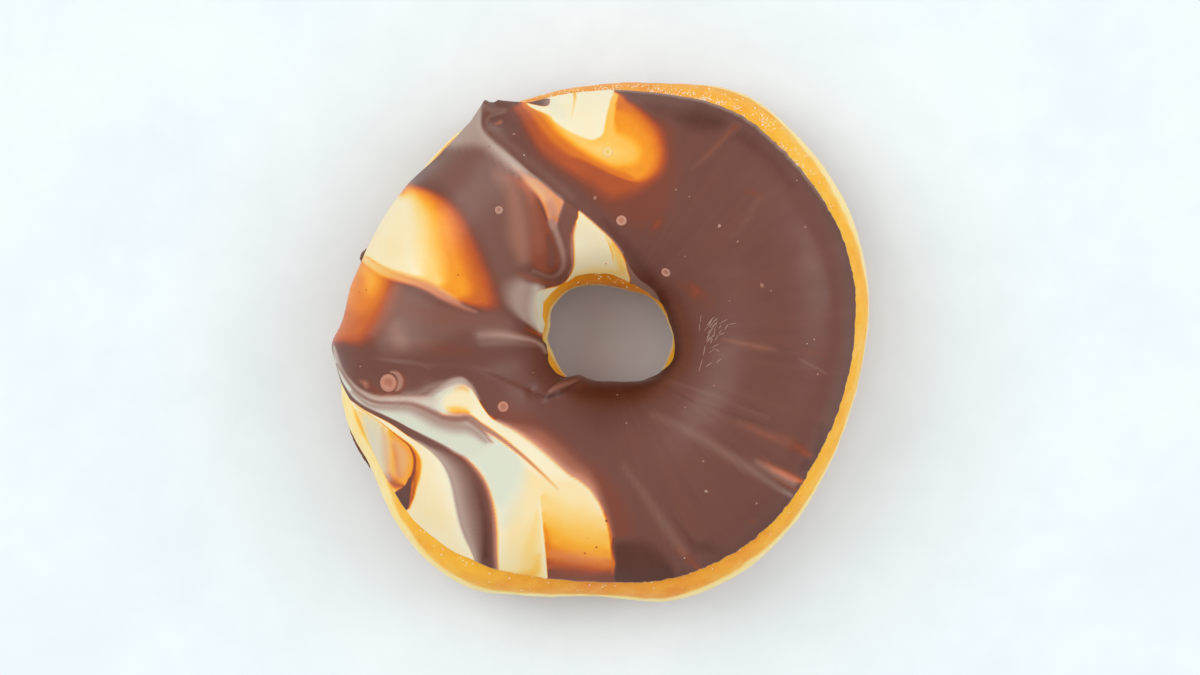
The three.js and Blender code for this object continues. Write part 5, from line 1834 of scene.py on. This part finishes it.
# %% [markdown]
# ## Sugar on the dough
#
# Where the icing ends, its sugar dried into grains on the skin, most of them along the top of the
# picture. They are too many to place one by one: Geometry Nodes scatters them on the dough, as densely
# as an attribute says.

# %% Scatter grains of sugar below the icing's edge
# How densely the grains lie, from 0 to 1, every 15 degrees
SUGAR = np.array([
    0, 0, 0.1, 0.5, 0.9, 1, 1, 0.8, 0.1, 0, 0, 0, 0, 0, 0.03, 0.05, 0.06, 0.05, 0.06, 0.05, 0.03, 0.02, 0, 0,
])
GRAINS_PER_MM2 = 20
GRAIN_RADIUS = 0.19
# The grains thin out over this distance below the icing, and few of them lie in the hole
SUGAR_FADES = 1.6
SUGAR_IN_HOLE = 0.2


def grains_tree():
    inputs = {"Density": 1e6, "Smallest": 0.4, "Grain": 0.0001, "Seed": 3}
    tree, given, out = new_growth("Grains of sugar", inputs)
    share = node(tree, "GeometryNodeInputNamedAttribute", {"Name": "sugared"}, data_type="FLOAT")
    density = maths(tree, "MULTIPLY", share.outputs["Attribute"], given.outputs["Density"])
    sockets = {"Mesh": given.outputs["Geometry"], "Density": density, "Seed": given.outputs["Seed"]}
    spread = node(tree, "GeometryNodeDistributePointsOnFaces", sockets)
    grain = node(tree, "GeometryNodeMeshIcoSphere", {"Radius": given.outputs["Grain"], "Subdivisions": 1})
    sockets = {2: given.outputs["Smallest"], 3: 1.0, "Seed": given.outputs["Seed"]}
    size = node(tree, "FunctionNodeRandomValue", sockets, data_type="FLOAT").outputs[1]
    sockets = {
        "Points": spread.outputs["Points"], "Instance": grain.outputs["Mesh"],
        "Rotation": spread.outputs["Rotation"], "Scale": size,
    }
    stood = node(tree, "GeometryNodeInstanceOnPoints", sockets)
    dress(tree, given, out, node(tree, "GeometryNodeRealizeInstances", {0: stood.outputs[0]}).outputs[0])
    return tree


def sugar_material():
    material, tree, shader = new_material(
        "dried_sugar", IOR=1.5, Subsurface_Weight=0.1, Subsurface_Scale=0.0003,
    )
    tint = remap(tree, mottling(tree, 0.5, 0.2, 0.5), -0.4, 0.4)
    stops = [(0.0, srgb(246, 206, 150)), (1.0, srgb(255, 244, 226))]
    tree.links.new(ramp(tree, tint, stops), shader.inputs["Base Color"])
    tree.links.new(remap(tree, tint, 0.0, 1.0, 0.35, 0.15), shader.inputs["Roughness"])
    return material


skin_points = np.empty(len(dough.data.vertices) * 3)
dough.data.vertices.foreach_get("co", skin_points)
skin_points = skin_points.reshape(-1, 3) / MM - (*CENTRE, 0)
skin_angle = np.arctan2(skin_points[:, 1], skin_points[:, 0])
skin_radius = np.hypot(skin_points[:, 0], skin_points[:, 1])
in_hole = skin_radius < 0.5 * (around(HOLE, skin_angle) + around(OUTSIDE, skin_angle))
icing_edge = np.where(in_hole, around(HOLE_RIM_HEIGHT, skin_angle), around(RIM_HEIGHT, skin_angle))
below_edge = icing_edge - EDGE_HANGS - skin_points[:, 2]
sugared = np.clip(around(SUGAR, skin_angle), 0, 1) * np.exp(-np.maximum(below_edge, 0) / SUGAR_FADES)
sugared *= soft_step(-0.15, 0.45, wander(skin_points, 1.5, 7))
sugared *= np.where(in_hole, SUGAR_IN_HOLE, 1) * (below_edge > -0.4) * (below_edge < 5)
grains = bpy.data.objects.new("sugar_grains", dough.data.copy())
bpy.context.scene.collection.objects.link(grains)
set_attribute(grains, "sugared", sugared)
grown(grains, grains_tree(), {
    "Density": GRAINS_PER_MM2 / MM ** 2, "Smallest": 0.35, "Grain": GRAIN_RADIUS * MM, "Seed": 3,
    "Material": sugar_material(),
})

# %% [markdown]
# ## Light, floor and camera
#
# The doughnut lies on a plain pale table in soft daylight. A large soft light stands on the left, so
# the shadow falls to the right, and a lower one on the right gives the milk chocolate its broad dull
# sheen. The camera looks straight down from about 90 cm.

# %% Floor
def floor_material():
    material, tree, shader = new_material("pale_table", Roughness=0.7)
    shade = remap(tree, mottling(tree, 30.0, 6.0, 0.5), -0.6, 0.6)
    stops = [(0.0, srgb(229, 237, 240)), (1.0, srgb(241, 248, 250))]
    tree.links.new(ramp(tree, shade, stops), shader.inputs["Base Color"])
    return material


bpy.ops.mesh.primitive_plane_add(size=6, location=(0, 0, 0))
floor = bpy.context.object
floor.name = "table"
floor.data.materials.append(floor_material())


# %% Lights
def soft_light(name, place, size, power, colour):
    data = bpy.data.lights.new(name, "AREA")
    data.shape = "DISK"
    data.size = size
    data.energy = power
    data.color = colour
    made = bpy.data.objects.new(name, data)
    made.location = place
    made.rotation_euler = (-Vector(place)).to_track_quat("-Z", "Y").to_euler()
    bpy.context.scene.collection.objects.link(made)


soft_light("window", (-0.75, 0.35, 1.0), 0.9, 5.0, (1.0, 1.0, 0.99))
soft_light("reflector", (0.72, 0.15, 0.72), 0.6, 2.2, (0.96, 0.97, 1.0))
world = bpy.data.worlds.new("daylight")
world.use_nodes = True
world.node_tree.nodes["Background"].inputs["Color"].default_value = (0.93, 0.97, 1.0, 1.0)
world.node_tree.nodes["Background"].inputs["Strength"].default_value = 0.77
bpy.context.scene.world = world

# %% Camera
SENSOR_WIDTH = 36
# The picture is this wide at this height
SEEN_WIDTH = 202.7
SEEN_AT_HEIGHT = 14.0
camera_data = bpy.data.cameras.new("camera")
camera_data.sensor_width = SENSOR_WIDTH
camera_data.lens = SENSOR_WIDTH * (CAMERA_HEIGHT - SEEN_AT_HEIGHT) / SEEN_WIDTH
camera_data.clip_end = 20
camera = bpy.data.objects.new("camera", camera_data)
camera.location = (*((CENTRE + CAMERA_PLACE) * MM), CAMERA_HEIGHT * MM)
bpy.context.scene.collection.objects.link(camera)
bpy.context.scene.camera = camera
bpy.context.scene.view_settings.view_transform = "Standard"
print("lens", round(camera_data.lens, 1), "mm")

# %% [markdown]
# ## Tie the pieces to the model
#
# Every piece rides on the model's one body. The ring, its coat, the smear and the drop each take the place of
# a solid of the model, which is hidden. Bubbles, flecks, scratches and sugar are too small to have solids.

# %% Put each piece on the body and hide the solid it replaces
for piece, cad_node, slot in (
    (dough, "dough", "crust"), (icing, "icing", "icing"), (smear, "icing_smear", "icing"),
    (drop, "icing_drop", "icing"),
):
    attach(piece, "root")
    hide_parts(cad_node)

for piece, slot in ((bubbles, "icing"), (flecks, "icing"), (scratches, "icing"), (grains, "crust")):
    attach(piece, "root")
